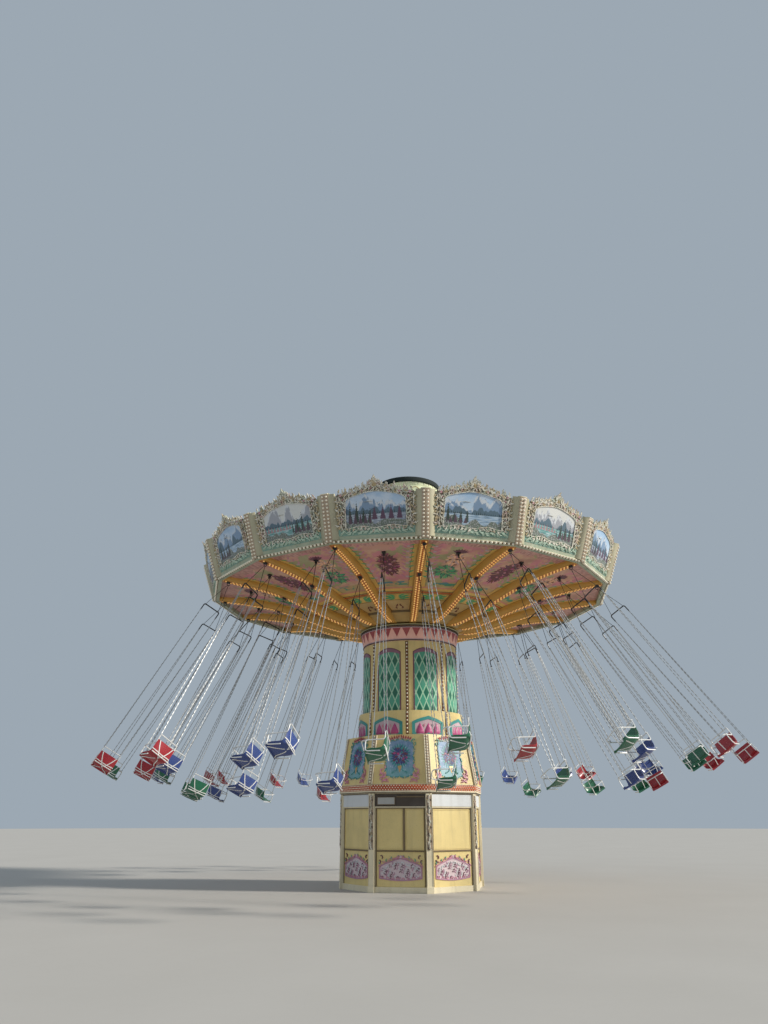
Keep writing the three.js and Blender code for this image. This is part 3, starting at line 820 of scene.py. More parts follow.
def carving_cream():
    """Cream carving with touches of pink, green and gold in patches, and small dark flecks scattered over it.
    """
    made = Finish("carving_cream", (0.70, 0.67, 0.57), 0.5)
    tints = made.noise(5.5, 2.0)
    made.over((0.52, 0.33, 0.28), tints.past(0.60, 0.03) * 0.6)
    made.over((0.34, 0.42, 0.33), tints.within(0.40, 0.03) * 0.6)
    made.over((0.46, 0.33, 0.14), made.noise(9.0, 2.0).past(0.60, 0.03) * 0.6)
    made.over((0.10, 0.09, 0.065), made.noise(30.0, 3.0).past(0.56, 0.04) * 0.7)
    return made.weather(0.25).done(0.4, 70, 0.006)


# Distances from the axis of the ceiling's painted and raised rings
HUB_REACH = 1.66
INNER_LINE = 2.56
RING_REACH = 2.92
FIELD_FOOT = 3.14
GREEN_REACH = 3.33
BLUE_REACH = 3.40
SWAG_REACH = 5.56


def ceiling_paint():
    """Ceiling boards. y runs away from the axis: framed inner panels, then a field between gold borders.

    The field is dusty pink with green and mauve clouds, a scalloped swag at the rim and a green foot.
    """
    made = Finish("ceiling_paint", (0.74, 0.48, 0.13), 0.55)
    x, y = made.pattern()
    inset = y * math.tan(HALF_CROWN) - abs(x)
    cloud = made.noise(3.0, 3.0)
    border = inset - made.noise(6.0, 2.0) * 0.10
    outer = y.past(FIELD_FOOT, 0.012)
    # Painted shade: a dark brown strip along each sweep's side, where the sweep meets the ceiling.
    made.over((0.36, 0.19, 0.05), inset.within(0.125, 0.02) * 0.8)
    made.over((0.58, 0.35, 0.10), cloud.past(0.56, 0.06) * 0.6)
    field = outer * border.past(0.19, 0.012)
    made.over((0.62, 0.32, 0.25), field)
    made.over((0.70, 0.46, 0.30), field * made.noise(3.4, 2.0).past(0.54, 0.05) * 0.7)
    made.over((0.66, 0.22, 0.30), field * made.noise(2.1, 2.0).past(0.57, 0.04) * 0.75)
    made.over((0.33, 0.36, 0.17), field * made.noise(1.7, 3.0).past(0.56, 0.03) * 0.8)
    edge = abs(border - 0.19).within(0.012, 0.006) * outer
    made.over((0.26, 0.12, 0.06), edge * 0.8)
    swag = (y + abs((x * 5.2).wave()) * 0.16).past(SWAG_REACH, 0.012)
    made.over((0.60, 0.31, 0.27), swag)
    made.over((0.36, 0.15, 0.15), swag * made.noise(5.0, 3.0, (3, 1, 1), "UV").past(0.52, 0.05) * 0.7)
    made.over((0.74, 0.48, 0.40), swag * made.noise(8.0, 3.0, (3, 1, 1), "UV").past(0.58, 0.05) * 0.6)
    foot = field * y.within(FIELD_FOOT + 0.32, 0.02)
    made.over((0.52, 0.38, 0.16), foot * 0.7)
    green = foot * abs(y - GREEN_REACH).within(0.065, 0.02)
    made.over((0.05, 0.30, 0.19), green * made.noise(5.0, 2.0).past(0.50, 0.04))
    blue = foot * abs(y - BLUE_REACH).within(0.05, 0.02)
    made.over((0.08, 0.24, 0.30), blue * made.noise(4.0, 2.0).past(0.56, 0.04))
    made.over((0.66, 0.26, 0.20), abs(y - FIELD_FOOT).within(0.030, 0.01) * inset.past(0.12, 0.02))
    inner = y.within(RING_REACH - 0.06, 0.01)
    line = (abs(inset - 0.13).within(0.014, 0.006) + abs(y - INNER_LINE).within(0.014)).least(1.0)
    made.over((0.20, 0.10, 0.04), inner * line * inset.past(0.10, 0.01))
    panel = inset.past(0.16, 0.02) * y.within(INNER_LINE - 0.02, 0.02)
    made.over((0.52, 0.37, 0.19), inner * panel * 0.8)
    made.over((0.44, 0.32, 0.13), y.within(HUB_REACH, 0.012))
    made.over((0.08, 0.06, 0.03), abs(y - HUB_REACH).within(0.022, 0.008))
    return made.weather(0.40, (0.12, 0.07, 0.03)).done(0.2, 30)


def blue_field():
    """Blue paint with paler clouds, and teal towards the foot."""
    made = Finish("blue_field", (0.16, 0.27, 0.44), 0.5)
    _, y = made.pattern()
    made.over((0.32, 0.45, 0.58), made.noise(5.0, 3.0).past(0.5, 0.12) * 0.6)
    made.over((0.16, 0.40, 0.38), y.within(0.42, 0.14) * 0.7)
    dabs, tone = made.cells(17.0, "UV")
    made.over((0.46, 0.56, 0.62), dabs.within(0.30, 0.08) * tone.past(0.55, 0.05) * 0.6)
    made.over((0.44, 0.36, 0.46), dabs.within(0.24, 0.08) * tone.within(0.25, 0.05) * 0.5)
    return made.weather(0.2).done(0.2, 45)


DIAMOND_WIDTH = 0.205
DIAMOND_HEIGHT = 0.46
DIAMOND_FOOT = 0.375


def green_diamonds():
    """Green ground, dark green diamonds in rows, and a pale green lattice that crosses between them."""
    made = Finish("green_diamonds", (0.055, 0.33, 0.21), 0.4)
    x, y = made.pattern()
    u, v = x / DIAMOND_WIDTH, (y - DIAMOND_FOOT) / DIAMOND_HEIGHT
    made.over((0.17, 0.42, 0.33), made.noise(2.0, 3.0).past(0.5, 0.2) * 0.4)
    from_middle = abs((u + 0.5).part() - 0.5) / 0.36 + abs((v + 0.5).part() - 0.5) / 0.34
    made.over((0.005, 0.13, 0.075), from_middle.within(1.0, 0.03))
    crossing = abs((u + v).part() - 0.5).least(abs((u - v).part() - 0.5))
    made.over((0.42, 0.62, 0.44), crossing.within(0.065, 0.015))
    return made.weather(0.15, streaks=0.12).done(0.15, 50)


def roof_canvas():
    """Weathered roof canvas: a fine weave, and rain streaks."""
    made = Finish("roof_canvas", (0.42, 0.40, 0.33), 0.85)
    x, y = made.pattern()
    weave = ((x * 900).wave() + (y * 900).wave()) * 0.25 + 0.5
    made.over((0.34, 0.32, 0.26), weave * 0.5)
    made.over((0.28, 0.26, 0.22), made.noise(0.8, 5.0).past(0.5, 0.2) * 0.5)
    return made.weather(0.5).done(0.3, 60, 0.002)


# Colour, or the panel's name for it, then weather, streaks, roughness and metal where they aren't the usual
PAINTS = {
    "cream_paint": ("cream", 0.25, 0.12),
    "yellow_panel": ("yellow", 0.25, 0.12),
    "gold_paint": ("gold", 0.25, 0.0, 0.45),
    "arm_paint": ("gold", 0.25, 0.0, 0.4, 0.1),
    "dusty_pink": ("pink", 0.25, 0.1, 0.55),
    "chair_red": ("red", 0.15, 0.0, 0.3),
    "chair_green": ("green", 0.15, 0.0, 0.3),
    "chair_blue": ("blue", 0.15, 0.0, 0.3),
    "band_white": ((0.62, 0.64, 0.65), 0.2, 0.1),
    "plate_grey": ((0.4, 0.4, 0.38), 0.2, 0.1),
    "machine_steel": ((0.2, 0.21, 0.22), 0.4, 0.2, 0.45, 0.7),
    "gilding": ((0.52, 0.33, 0.12), 0.35, 0.0, 0.38, 0.55),
    "collar_red": ((0.36, 0.055, 0.06),),
    "oxblood": ((0.17, 0.045, 0.035), 0.2),
    "lamp_brown": ((0.2, 0.075, 0.03), 0.2),
    # The next paint is painted shade, laid behind the boards' carving so that the gaps between its scrolls
    # read dark.
    "carving_shade": ((0.19, 0.17, 0.12), 0.2, 0.0, 0.7),
    "old_gold": ((0.46, 0.36, 0.2), 0.3),
    "leaf_sage": ((0.28, 0.37, 0.27), 0.3),
    "sea_green": ((0.19, 0.33, 0.27), 0.3),
    "pale_green": ((0.42, 0.54, 0.43), 0.3),
    "lamp_tan": ((0.4, 0.3, 0.21), 0.3),
    "pilaster_khaki": ((0.44, 0.41, 0.28), 0.3, 0.2),
    "cartouche_pink": ((0.44, 0.22, 0.32), 0.3),
    "apron_khaki": ((0.44, 0.4, 0.2), 0.3, 0.1),
    "hub_gold": ((0.5, 0.34, 0.13), 0.3, 0.1),
    "ceiling_green": ((0.07, 0.38, 0.17), 0.3),
    "lamp_orange": ((0.48, 0.13, 0.025), 0.3),
    "leaf_deep": ((0.05, 0.15, 0.11), 0.2),
    "salmon": ((0.92, 0.54, 0.33), 0.2),
    "scroll_pink": ((0.58, 0.24, 0.32), 0.3),
    "scroll_green": ((0.13, 0.36, 0.26), 0.3),
    "blush": ((0.54, 0.39, 0.44),),
    "cartouche_pale": ((0.64, 0.51, 0.53), 0.3, 0.1),
    "magenta": ((0.42, 0.06, 0.2), 0.2, 0.0, 0.45),
    "plum": ((0.14, 0.04, 0.07), 0.2),
    "night_blue": ((0.05, 0.06, 0.2), 0.2),
    "mauve_paint": ((0.27, 0.13, 0.19),),
    "teal_paint": ((0.04, 0.27, 0.26), 0.25, 0.0, 0.45),
    "orange_ring": ((0.46, 0.075, 0.014), 0.3, 0.0, 0.45),
    "shade_brown": ((0.055, 0.04, 0.028), 0.2, 0.0, 0.6),
    "rail_brown": ((0.16, 0.11, 0.05), 0.2),
    "cupola_paint": ((0.84, 0.9, 0.6), 0.3, 0.2),
    # The lid's near-black is partly its own dark paint and partly painted shade from the shadow under its
    # rim.
    "lid_paint": ((0.003, 0.012, 0.012), 0.03, 0.0, 0.85),
    "chain_steel": ((0.42, 0.43, 0.43), 0.3, 0.0, 0.4, 0.4),
    "black_steel": ((0.018, 0.018, 0.02), 0.15, 0.0, 0.4, 0.2),
    "white_tube": ((0.72, 0.72, 0.7), 0.15, 0.0, 0.35),
    "timber": ((0.3, 0.2, 0.11), 0.35, 0.1, 0.7),
}

PATTERNED_PAINTS = {
    "picture_paint": picture_paint,
    "sage_board": sage_board,
    "carving_cream": carving_cream,
    "ceiling_paint": ceiling_paint,
    "blue_field": blue_field,
    "green_diamonds": green_diamonds,
    "roof_canvas": roof_canvas,
    "bulb_white": lambda: lamp_glass("bulb_white", (0.86, 0.80, 0.64), 0.06),
    "bulb_amber": lambda: lamp_glass("bulb_amber", (1.0, 0.58, 0.17), 0.32),
}


def finish(name):
    """The material of that name, made the first time that it is asked for."""
    known = bpy.data.materials.get(f"ride_{name}")
    if known:
        return known
    if name in PATTERNED_PAINTS:
        return PATTERNED_PAINTS[name]()
    colour, *rest = PAINTS[name]
    return plain(name, getattr(colours(), colour) if isinstance(colour, str) else colour, *rest)


def paint_node(node, paint):
    """Gives a node of the frame its finish; its shape stays."""
    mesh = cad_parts[node].data
    mesh.materials.clear()
    mesh.materials.append(finish(paint))


def lamps(shell, place, x, y, lift=0.0, size=1.0, paint="bulb_white"):
    """A grid or row of lamp caps standing on a surface."""
    shell.lay(place, LAMP, spots(x, y, 0, sizes().lamp_radius * size), paint, lift)


SPIRAL_TURN = 137.5


def bouquet(shell, place, lift, seed, centre, reach, leaf_paints, flower_paints, leaves, flowers):
    """A painted bunch of flowers: leaves point away from its middle in a spiral, with flowers over them.

    Each stands one spiral turn on from the one before, at the square root of its share of the half sizes.
    """
    draw = np.random.default_rng(seed)
    for count, limit, away, paints, form, least, most, above in (
            (leaves, 1.0, 0.62, leaf_paints, FLAT_LEAF, 0.30, 0.46, 0.0),
            (flowers, 0.82, 1.0, flower_paints, FLAT_FLOWER, 0.09, 0.16, 0.004)):
        number = np.arange(count)
        share = limit * away * np.sqrt((number + 0.5) / count)
        turn = SPIRAL_TURN * number + draw.uniform(-25, 25, count)
        angle = np.radians(SPIRAL_TURN * number)
        x, y = centre[0] + reach[0] * share * np.cos(angle), centre[1] + reach[1] * share * np.sin(angle)
        size = min(reach) * draw.uniform(least, most, count)
        places = spots(x, y, turn, size, np.resize([1, -1], count))
        for order, paint in enumerate(paints):
            shell.lay(place, form, places[order::len(paints)], paint, lift + above + 0.001 * order)


def leaning(azimuth, distance, foot=0.0, out=0.0, rise=1.0):
    """A flat surface from a foot at a distance from the axis, which leans out by out over its rise."""
    away = radial(azimuth)
    return Face(distance * away + foot * UP, tangent(azimuth), unit(out * away + rise * UP))


WALL_HALF = 0.657
WALL_HEAD = 2.045
RAIL_FOOT = 0.982
RAIL_HEAD = 1.018
FRAME_FOOT = 1.055
FRAME_HEAD = 2.01
FRAME_INSET = 0.035
BAND_FOOT = 2.10
BAND_HEAD = 2.41
BAND_HALF = 0.69
BAND_PROUD = 0.030
DOOR_EDGE = 0.10
CARTOUCHE_HALF = 0.56
CARTOUCHE_MARKS = 80


def cartouche_top(x):
    """The cartouche's upper edge: a broad hump with a smaller one in its middle."""
    share = np.abs(x) / CARTOUCHE_HALF
    return 0.58 + 0.17 * np.sqrt(np.clip(1 - share ** 2, 0, 1)) + 0.07 * np.exp(-(x / 0.2) ** 2)


def cartouche_foot(x):
    return 0.30 + 0.05 * (x / CARTOUCHE_HALF) ** 2


def cartouche_marks():
    """Scattered spots over the cartouche: each steps on by a fixed share of its width and of its height."""
    number = np.arange(CARTOUCHE_MARKS)
    across = 0.50 * (2 * (number * 0.618 % 1) - 1)
    low, high = cartouche_foot(across) + 0.05, cartouche_top(across) - 0.06
    up = low + (number * 0.755 % 1) * (high - low)
    return spots(across, up, number * SPIRAL_TURN, 0.115, np.resize([1, -1], CARTOUCHE_MARKS))


def build_base_woodwork():
    """The base's rails, mouldings, bands, cartouches and sign plate."""
    panels = Shell()
    x = bowed(CARTOUCHE_HALF, 15)
    upper, lower = edge_line(x[:8], cartouche_top), edge_line(x[:8], cartouche_foot)[::-1]
    plate = plaque(x, cartouche_foot, cartouche_top, 0.0, 0.008)
    edge = hoop(raised(outline(x, cartouche_foot, cartouche_top), 0.010), 0.020, 0.014)
    marks = cartouche_marks()
    for side in range(BASE_SIDES):
        wall = leaning(side * BASE_STEP, sizes().base_face)
        band = leaning(side * BASE_STEP, sizes().base_face + BAND_PROUD)
        panels.on(wall, strip(WALL_HALF, RAIL_FOOT, RAIL_HEAD, 0, 0.028), "rail_brown")
        panels.on(wall, strip(WALL_HALF, WALL_HEAD, WALL_HEAD + 0.025, 0, 0.026), "rail_brown")
        split = [-WALL_HALF, WALL_HALF]
        if side == 0:
            split[1:1] = [DOOR_EDGE - 0.024, DOOR_EDGE + 0.024]
            panels.on(wall, block(split[1], split[2], RAIL_HEAD, WALL_HEAD, 0, 0.03), "rail_brown")
        for start, end in zip(split[::2], split[1::2]):
            left, right = start + FRAME_INSET, end - FRAME_INSET
            corners = [[left, FRAME_FOOT], [right, FRAME_FOOT], [right, FRAME_HEAD], [left, FRAME_HEAD]]
            panels.on(wall, hoop(raised(corners, 0.004), 0.012, 0.010), "yellow_panel")
        panels.pair(wall, WALL_HALF - 0.02, WALL_HALF, 0.15, WALL_HEAD, 0.02, "rail_brown")
        # On the front side the band's ground is dark brown painted shade, standing for the shade inside a
        # recess.
        ground = "band_white" if side else "shade_brown"
        panels.on(band, strip(BAND_HALF, BAND_FOOT, BAND_HEAD, 0, 0.012), ground)
        panels.on(band, strip(BAND_HALF, BAND_HEAD, BAND_HEAD + 0.018, 0, 0.03), "rail_brown")
        if side == 0:
            panels.on(band, block(-0.62, -0.13, 2.14, 2.34, 0.012, 0.034), "rail_brown")
            panels.on(band, block(-0.605, -0.145, 2.155, 2.325, 0.034, 0.038), "plate_grey")
            panels.on(band, block(-0.09, 0.66, 2.33, 2.36, 0.012, 0.03), "rail_brown")
        panels.on(wall, plate, "cartouche_pale")
        panels.on(wall, edge, "cartouche_pink")
        panels.lay(wall, C_SCROLL, mirrored(spots(-0.10, 0.845, 40, 0.17)), "scroll_pink", 0.012)
        panels.lay(wall, BLOSSOM, spots(0.0, 0.86, 0, 0.045), "cartouche_pale", 0.012)
        panels.trail(wall, upper, (
            (S_SCROLL, 0.125, 0.045, 0, 0.15, 3, "scroll_pink", 0.008),
            (LEAF, 0.15, 0.03, 62, 0.085, 4, "scroll_green", 0.008, 1),
            (C_SCROLL, 0.14, -0.09, 0, 0.14, 5, "band_white", 0.008)))
        panels.trail(wall, lower, ((C_SCROLL, 0.15, -0.04, 0, 0.14, 7, "scroll_pink", 0.008),))
        for order, paint in enumerate(("plum", "cartouche_pink", "band_white")):
            panels.lay(wall, C_SCROLL, marks[order::3], paint, 0.005)
        ends = mirrored(spots([-0.50, -0.55], [0.86, 0.74], [118, 95], 0.16))
        panels.lay(wall, C_SCROLL, ends, "plum", 0.004)
    panels.build("base_woodwork", "base", "cream_paint")


def build_post_carvings():
    """The carved strips on the base's corner posts."""
    posts = Shell()
    heights = np.arange(1.12, 2.36, 0.17)
    side = np.resize([-1, 1], len(heights))
    for corner in range(BASE_SIDES):
        post = leaning((corner + 0.5) * BASE_STEP, sizes().post_radius)
        posts.on(post, strip(0.096, 0.0, 0.16, 0, 0.018), "cream_paint")
        posts.on(post, strip(0.085, 2.38, 2.43, 0, 0.02), "cream_paint")
        posts.on(post, strip(0.074, 1.03, 2.37, 0, 0.003, 0.001), "lamp_tan")
        posts.pair(post, 0.073, 0.085, 0.17, 2.37, 0.012, "cream_paint")
        posts.lay(post, S_SCROLL, spots(0, heights, 90, 0.24, -side), "carving_cream", 0.003)
        leaves = shaken(spots(0, heights + 0.05, 90 - 38 * side, 0.11, side), corner)
        posts.lay(post, LEAF, leaves, "old_gold", 0.004)
        hooks = shaken(spots(0.034 * side, heights - 0.05, 90, 0.10, side), corner + 20)
        posts.lay(post, C_SCROLL, hooks, "shade_brown", 0.004)
        posts.lay(post, BLOSSOM, spots(0, heights + 0.085, 20, 0.030), "carving_cream", 0.010)
    posts.build("post_carvings", "base", "gilding")


CORNICE_HALF = 0.800
# How much wider than the strip, foot, head, front and paint. The thin dark moulding at the bottom is a
# painted shadow line under the cream one.
CORNICE_MOULDINGS = (
    (0.0, 2.50, 2.655, 0.006, "orange_ring"), (0.006, 2.655, 2.669, 0.022, "cream_paint"),
    (0.004, 2.462, 2.500, 0.014, "cream_paint"), (0.002, 2.446, 2.462, 0.008, "shade_brown"),
)


def build_cornice():
    """The lamp strip round the cornice: three rows of caps on orange paint between cream mouldings."""
    shell = Shell()
    across = row(-CORNICE_HALF, CORNICE_HALF, sizes().lamp_pitch)
    between = across[:-1] + 0.5 * sizes().lamp_pitch
    for side in range(BASE_SIDES):
        face = leaning(side * BASE_STEP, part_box("base_cornice")[1].x)
        for wider, foot, head, front, paint in CORNICE_MOULDINGS:
            shell.on(face, strip(CORNICE_HALF + wider, foot, head, -0.01, front), paint)
        for height, places in ((2.525, across), (2.577, between), (2.630, across)):
            lamps(shell, face, places, height, 0.006, 0.62)
    shell.build("cornice_lamps", "base", "orange_ring", 65)


SKIRT_FACE = 1.968
SKIRT_LEAN = 0.217
SKIRT_RISE = 1.31
SKIRT_SLANT = math.hypot(SKIRT_LEAN, SKIRT_RISE)
SKIRT_CORNER = 2.13
SKIRT_CORNER_LEAN = 0.235
BLUE_HALF = 0.37
FLOWERS_MIDDLE = 0.74


def field_top(x):
    """The blue field's upper edge: level, rounded off at its shoulders and raised in the middle."""
    share = np.abs(x) / BLUE_HALF
    return 1.13 + 0.05 * np.exp(-(x / 0.16) ** 2) - 0.10 * np.clip(share - 0.75, 0, 1) ** 2 * 16


def field_foot(x):
    share = np.abs(x) / BLUE_HALF
    return 0.19 + 0.07 * np.clip(share - 0.6, 0, 1) ** 2 * 6


def skirt_border():
    """The scrolls and leaves round a flower field: each row is a form, its spots, paint and lift."""
    corners = spots([-0.44, -0.50, -0.42, -0.41, -0.50], [0.20, 0.33, 0.10, 0.45, 0.16], [30, 85, 10, 80, 60],
                    [0.24, 0.22, 0.21, 0.17, 0.18], [1, -1, 1, 1, -1])
    inner = spots([-0.36, -0.40, -0.46, -0.53, -0.33, -0.47], [0.11, 0.27, 0.25, 0.25, 0.06, 0.08],
                  [200, 140, 300, 40, 170, 250], [0.16, 0.15, 0.15, 0.13, 0.14, 0.16], [1, -1, 1, -1, 1, -1])
    shoulders = spots([-0.36, -0.42], [1.16, 1.06], [150, 110], [0.19, 0.15], [1, -1])
    crest = spots([-0.04, -0.12, -0.20, -0.28], [1.24, 1.23, 1.21, 1.19], [50, 40, 30, 10], 0.12)
    flame = np.arange(5)
    flames = spots([-0.02, -0.07, -0.13, -0.19, -0.25], 1.21 - 0.01 * flame, 92 + 8 * flame, 0.11)
    turn = np.arange(0, 360, 15)
    ray = np.radians(turn)
    star = spots(0.17 * np.cos(ray), FLOWERS_MIDDLE + 0.20 * np.sin(ray), turn, 0.15)
    foot_pair = spots([-0.09, -0.18], [0.36, 0.30], [60, 30], 0.13, [1, -1])
    leaves = spots([-0.38, -0.46, -0.34], [0.20, 0.24, 0.12], [150, 120, 190], 0.12)
    cream_leaves = spots([-0.42, -0.50], [0.15, 0.10], [60, 110], 0.09)
    return (
        (C_SCROLL, shaken(mirrored(corners), 13), "scroll_pink", 0.004),
        (LEAF, mirrored(leaves), "scroll_pink", 0.004),
        (C_SCROLL, mirrored(inner), "scroll_pink", 0.006),
        (LEAF, mirrored(cream_leaves), "carving_cream", 0.008),
        (C_SCROLL, shaken(mirrored(shoulders), 14), "scroll_green", 0.004),
        (C_SCROLL, mirrored(crest), "scroll_pink", 0.006),
        (LEAF, mirrored(flames), "collar_red", 0.008),
        (C_SCROLL, mirrored(foot_pair), "teal_paint", 0.008),
        (FLAT_LEAF, star, "teal_paint", 0.006),
    )


def build_skirt_paintings():
    """The skirt's blue flower fields and their scroll borders."""
    art = Shell()
    x = bowed(BLUE_HALF, 13)
    plate = plaque(x, field_foot, field_top, 0.0, 0.006)
    sides = left_side(x, field_foot, field_top)
    cone = pad([(0.0, 0.28), (0.06, 0.47), (0.0, 0.495), (-0.06, 0.47)], ((1.0, 0.006), (0.9, 0.016)))
    border = skirt_border()
    for side in range(BASE_SIDES):
        face = leaning(side * BASE_STEP, SKIRT_FACE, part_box("skirt")[0].z, -SKIRT_LEAN, SKIRT_RISE)
        art.on(face, plate, "blue_field")
        art.trail(face, sides, (
            (S_SCROLL, 0.15, 0.015, 0, 0.16, 11, "teal_paint", 0.004),
            (LEAF, 0.105, 0.005, 40, 0.075, 12, "carving_cream", 0.004, 1)))
        for form, places, paint, lift in border:
            art.lay(face, form, places, paint, lift)
        bouquet(art, face, 0.008, 40 + side, (0.0, FLOWERS_MIDDLE), (0.26, 0.30),
                ("night_blue", "plum", "night_blue"), ("plum", "magenta", "night_blue", "teal_paint"), 90, 16)
        art.on(face, cone, "gilding")
    art.build("skirt_paintings", "base", "blue_field")


def build_skirt_strips():
    """The lamp strips down the skirt's corners."""
    shell = Shell()
    top = SKIRT_SLANT - 0.015
    for corner in range(BASE_SIDES):
        azimuth = (corner + 0.5) * BASE_STEP
        face = leaning(azimuth, SKIRT_CORNER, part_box("skirt")[0].z, -SKIRT_CORNER_LEAN, SKIRT_RISE)
        shell.on(face, strip(0.075, 0.005, top, -0.03, 0.006), "lamp_tan")
        shell.pair(face, 0.048, 0.078, 0.005, top, 0.014, "cream_paint")
        shell.pair(face, 0.040, 0.048, 0.005, top, 0.010, "shade_brown")
        lamps(shell, face, 0.0, row(0.02, top, sizes().lamp_pitch), 0.006)
    shell.build("skirt_lamp_strips", "base", "cream_paint", 65)


def arch(half, spring, rise):
    """An arched edge over x: the spring, and the rise times one less the square of x's share of half."""
    return lambda x: spring + rise * (1 - np.clip(np.abs(x) / half, 0, 1) ** 2)


def arch_frame(half, foot, top, d, columns=11):
    """The closed path round an arched panel."""
    arched = edge_line(bowed(half, columns), top)
    return raised(np.concatenate([[[-half, foot]], arched, [[half, foot], [0, foot]]]), d)


DRUM_WALL = 0.04
UPPER_DRUM_FOOT = 4.35
UPPER_DRUM_HEAD = 6.69
HEAD_PLATE_FOOT = 6.6503
HEAD_PLATE_HOLE = 0.62
DIAMONDS_HALF = 0.33
DIAMONDS_LOW = 0.32
LOWER_DRUM_FOOT = 0.6203
LOWER_DRUM_HEAD = 4.67
ARCHES_FOOT = 4.0
ARCH_HALF = 0.43
DRUM_LAMP_PITCH = 0.105
LAMP_STRIP_HALF = 0.028


def lamp_column(shell, place, foot, head):
    """A narrow upright strip with dark edges and one column of lamps."""
    shell.on(place, strip(LAMP_STRIP_HALF, foot, head, 0.0, 0.008), "lamp_brown")
    shell.pair(place, LAMP_STRIP_HALF, LAMP_STRIP_HALF + 0.012, foot, head, 0.012, "shade_brown")
    lamps(shell, place, 0.0, row(foot, head, DRUM_LAMP_PITCH), 0.008, 0.95)


def build_drum_wall(node, body, profile):
    """A drum's round wall over its outline."""
    wall = Shell("yellow_panel")
    wall.ring(profile)
    wall.build(f"{node}_wall", body, "yellow_panel", node=node)


def ogee(x):
    """The teal arches' upper edge: round at the sides, drawn up to a point in the middle."""
    share = np.clip(np.abs(x) / ARCH_HALF, 0, 1)
    return 0.32 + 0.15 * (0.55 * (1 - share ** 3) + 0.45 * (1 - share) ** 2)


def build_lower_drum():
    """The lower drum, smooth and round, with its teal ogee arches, pale fields and magenta buds."""
    radius = sizes().lower_drum
    inside = radius - DRUM_WALL
    build_drum_wall("lower_drum", "column", (
        (radius, LOWER_DRUM_FOOT), (radius, LOWER_DRUM_HEAD),
        (inside, LOWER_DRUM_HEAD), (inside, LOWER_DRUM_FOOT)))

    art = Shell()
    rise = np.linspace(0, 1, 5)
    side = np.stack([0.118 * (1 - rise ** 1.8), 0.02 + 0.30 * rise], -1)
    bud = pad(np.concatenate([side, side[-2::-1] * (-1, 1)]), ((1.0, 0.006), (0.9, 0.016)))
    pale_field = plaque(bowed(ARCH_HALF, 17), 0.01, ogee, 0.0, 0.006)
    teal_arch = hoop(arch_frame(ARCH_HALF, 0.012, ogee, 0.008, 17), 0.060, 0.012)
    for panel in range(DRUM_PANELS):
        edge = drum_edge(panel)
        place = Barrel(edge + 180 / DRUM_PANELS, radius, ARCHES_FOOT)
        art.on(place, pale_field, "blush")
        art.on(place, teal_arch, "teal_paint")
        for step in (-0.245, 0.0, 0.245):
            art.on(place, Form(bud.points + (step, 0.0, 0.0), bud.blocks), "magenta")
        art.lay(place, LEAF, mirrored(spots(-0.125, 0.20, 80, 0.10)), "scroll_pink", 0.004)
        lamp_column(art, Barrel(edge, radius, ARCHES_FOOT), 0.01, 0.66)
    art.build("lower_drum_arches", "column", "teal_paint", 50)


def build_upper_drum():
    """The upper drum, smooth and round, with its diamond panels in mauve arched frames."""
    radius = sizes().upper_drum
    inside = radius - DRUM_WALL
    build_drum_wall("upper_drum", "tower", (
        (radius, UPPER_DRUM_FOOT), (radius, UPPER_DRUM_HEAD), (HEAD_PLATE_HOLE, UPPER_DRUM_HEAD),
        (HEAD_PLATE_HOLE, HEAD_PLATE_FOOT), (inside, HEAD_PLATE_FOOT), (inside, UPPER_DRUM_FOOT)))

    art = Shell()
    wide = DIAMONDS_HALF + 0.04
    mauve = plaque(bowed(wide, 13), DIAMONDS_LOW - 0.01, arch(wide, 2.0, 0.13), 0.0, 0.004, 12)
    top = arch(DIAMONDS_HALF, 1.95, 0.07)
    diamonds = plaque(bowed(DIAMONDS_HALF + 0.01, 13), DIAMONDS_LOW, top, 0.0, 0.008, 12)
    line = hoop(arch_frame(wide, DIAMONDS_LOW, arch(wide, 2.01, 0.13), 0.004, 13), 0.013, 0.012)
    for panel in range(DRUM_PANELS):
        edge = drum_edge(panel)
        place = Barrel(edge + 180 / DRUM_PANELS, radius, UPPER_DRUM_FOOT)
        for form, paint in ((mauve, "mauve_paint"), (diamonds, "green_diamonds"), (line, "plum")):
            art.on(place, form, paint)
        lamp_column(art, Barrel(edge, radius, UPPER_DRUM_FOOT), 0.02, 2.32)
    art.build("upper_drum_panels", "tower", "green_diamonds", 50)


COLLAR_RADIUS = 1.435
COLLAR_FOOT = 6.6903
COLLAR_HEAD = 7.12
COLLAR_FLARE = 0.08 / (COLLAR_HEAD - COLLAR_FOOT)
COLLAR_POINTS = 32


